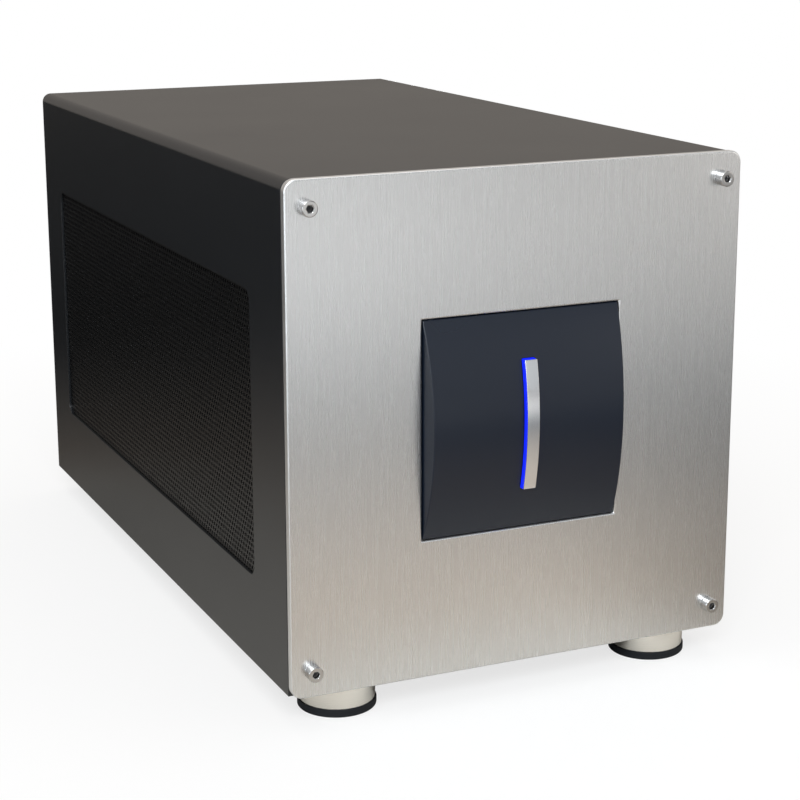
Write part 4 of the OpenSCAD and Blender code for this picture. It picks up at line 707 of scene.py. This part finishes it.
def honeycomb_cell(bm, middle, thickness):
    """One six-sided cell of the sheet round its hole, its normal along X."""
    rim = bmesh.ops.create_circle(bm, cap_ends=False, segments=6,
                                  radius=HOLE_PITCH / math.sqrt(3) * MM)["verts"]
    hole = bmesh.ops.create_circle(bm, cap_ends=False, segments=6,
                                   radius=HOLE_CORNER * MM)["verts"]
    edges = [e for e in bm.edges if e.verts[0] in rim or e.verts[0] in hole]
    ring = bmesh.ops.bridge_loops(bm, edges=edges)["faces"]
    bmesh.ops.recalc_face_normals(bm, faces=ring)
    grown = bmesh.ops.extrude_face_region(bm, geom=ring, use_keep_orig=True)["geom"]
    bmesh.ops.translate(bm, verts=[v for v in grown if isinstance(v, bmesh.types.BMVert)],
                        vec=(0, 0, thickness))
    walls = [f for f in bm.faces if abs(f.normal.z) < 0.5
             and f.calc_center_median().to_2d().length > HOLE_PITCH * 0.45 * MM]
    bmesh.ops.delete(bm, geom=walls, context="FACES_ONLY")
    bmesh.ops.rotate(bm, verts=bm.verts, cent=(0, 0, 0),
                     matrix=Matrix.Rotation(math.radians(90), 3, "Y"))
    bmesh.ops.translate(bm, verts=bm.verts, vec=middle)


def repeated(bm, count, place):
    """Repeats all that the bmesh holds, each copy moved to its place, and joins them."""
    first = bm.verts[:] + bm.edges[:] + bm.faces[:]
    for i in range(1, count):
        copy = bmesh.ops.duplicate(bm, geom=first)["geom"]
        bmesh.ops.translate(bm, verts=[v for v in copy if isinstance(v, bmesh.types.BMVert)],
                            vec=place(i))
    bmesh.ops.remove_doubles(bm, verts=bm.verts, dist=0.01 * MM)


def perforate(node, low, high):
    """Staggered six-sided holes over the window, their walls painted dark as shade."""
    lap, pitch, row = LAP_WIDTH * MM, HOLE_PITCH * MM, HOLE_PITCH * math.sqrt(3) / 2 * MM
    along = math.ceil((high.y - low.y - 2 * lap) / pitch) + 1
    rows = math.ceil((high.z - low.z - 2 * lap) / row) + 1
    middle = (low + high) / 2
    bm = bmesh.new()
    honeycomb_cell(bm, Vector((low.x, middle.y - (along - 0.5) / 2 * pitch,
                               middle.z - (rows - 1) / 2 * row)), high.x - low.x)
    repeated(bm, along, lambda i: Vector((0, pitch, 0)) * i)
    repeated(bm, rows, lambda i: (0, (i % 2) * pitch / 2, i * row))
    bmesh.ops.recalc_face_normals(bm, faces=bm.faces)
    # The walls of the holes take the painted shade, the faces of the sheet their paint
    for face in bm.faces:
        face.material_index = int(abs(face.normal.x) < 0.5)
    piece = add_piece(node + "_holes", bm, [FINISH["mesh"], painted_shade_hole_wall], node)
    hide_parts(node)


def edge_sheet(node, low, high):
    """The plain lap round the holes.

    It is a hair thinner than they are, so that it covers no web, and its inner edge stays
    hidden behind the cover.
    """
    size, middle = high - low - Vector((0.02 * MM, 0, 0)), (low + high) / 2
    hidden = 0.8
    bm = bmesh.new()
    bmesh.ops.create_cube(bm, size=1)
    bmesh.ops.scale(bm, verts=bm.verts, vec=size)
    bmesh.ops.translate(bm, verts=bm.verts, vec=middle)
    sides = [f for f in bm.faces if abs(f.normal.x) > 0.5]
    bmesh.ops.inset_region(bm, faces=sides, thickness=(LAP_WIDTH - hidden) * MM,
                           use_even_offset=True)
    window = [f for f in bm.faces if abs(f.normal.x) > 0.5
              and (f.calc_center_median() - middle).to_2d().length < 1 * MM
              and abs(f.calc_center_median().z - middle.z) < 1 * MM]
    bmesh.ops.bridge_loops(bm, edges=list({e for f in window for e in f.edges}))
    bmesh.ops.delete(bm, geom=window, context="FACES_ONLY")
    bmesh.ops.recalc_face_normals(bm, faces=bm.faces)
    piece = add_piece(node + "_lap", bm, [FINISH["mesh"]], node)
    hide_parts(node)


def perforated_sheet(node):
    """A steel sheet with fine holes over the window, and a plain lap round them."""
    low, high = (Vector(v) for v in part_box(node))
    perforate(node, low, high)
    edge_sheet(node, low, high)


# ------------------------------------------------------------------ leads

# The routes of the CAD leads: points in millimetres, whose corners are cut off to round them
MAIN_LEAD = [(32.8, 64.5, 55.7), (32.8, 46.63, 55.7), (32.8, 9.5, 63.7), (-3.9, -4, 71.7),
             (-3.9, -4, 55.7), (-3.9, -4, 43.9)]
CARD_LEAD = [(32.8, 64.5, 85.7), (32.8, 49.5, 85.7), (32.8, 35.5, 85.7), (13.1, 35.5, 85.7),
             (13.1, 49.5, 85.7), (13.1, 108.5, 85.7)]
FAN_LEAD = [(74.4, -101.8, 50), (74.4, -112.8, 50), (74.4, -115.8, 16.3),
            (40.7, -115.8, 16.3), (-23.7, -115.8, 16.3), (-23.7, -28, 16.3),
            (-23.7, -22, 27.3), (-23.7, -12, 27.3)]
LIGHT_LEAD = [(-20.25, -157.1, 101), (-20.25, -148.1, 101), (-20.25, -145.1, 65.5),
              (-50.1, -145.1, 28.3), (-50.1, -142.1, 16.3), (-50.1, -28, 16.3),
              (-50.1, -22, 27.3), (-50.1, -12, 27.3)]


def cut_corners(points, rounds):
    """The line through the points, a quarter cut off at each end of its legs every round."""
    points = [Vector(p) for p in points]
    for _ in range(rounds):
        cut = [points[0]]
        for a, b in zip(points, points[1:]):
            cut += [a.lerp(b, 0.25), a.lerp(b, 0.75)]
        points = cut + [points[-1]]
    return points


def tube(name, route, diameter, mat, node, sides=12):
    """A smooth round lead along its route, made a mesh with the curve's own UV map."""
    points = cut_corners(route, 4)
    line = bpy.data.curves.new(name, "CURVE")
    line.dimensions = "3D"
    line.bevel_depth = diameter / 2 * MM
    line.bevel_resolution = sides // 4 - 1
    line.use_fill_caps = True
    spline = line.splines.new("POLY")
    spline.points.add(len(points) - 1)
    for dot, p in zip(spline.points, points):
        dot.co = (*(p * MM), 1)
    spline.use_smooth = True
    drawn = bpy.data.objects.new(name + "_line", line)
    bpy.context.collection.objects.link(drawn)
    bpy.context.view_layer.update()
    mesh = bpy.data.meshes.new_from_object(drawn.evaluated_get(
        bpy.context.evaluated_depsgraph_get()))
    bpy.data.objects.remove(drawn)
    mesh.materials.clear()
    mesh.materials.append(mat)
    mesh.name = name
    piece = bpy.data.objects.new(name, mesh)
    bpy.context.collection.objects.link(piece)
    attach(piece, node_bodies[node])
    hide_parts(node)


def run_leads():
    tube("main_lead_sleeve", MAIN_LEAD, 8, FINISH["lead"], "main_lead", 16)
    tube("card_lead_sleeve", CARD_LEAD, 7, FINISH["lead"], "card_lead", 16)
    tube("fan_lead_jacket", FAN_LEAD, 3, FINISH["black_plastic"], "fan_lead")
    tube("light_lead_jacket", LIGHT_LEAD, 3, FINISH["red_lead"], "light_lead")


# ------------------------------------------------------------------ build

place_camera()
light_studio()
lay_floor()
carry_over()
dress_panel()
dress_light_guide()
dress_panel_screws()
dress_boards()
fit_slot_contacts()
fit_chip_legs()
perforated_sheet("left_grille")
perforated_sheet("right_grille")
run_leads()
bpy.context.scene.view_settings.view_transform = "Standard"
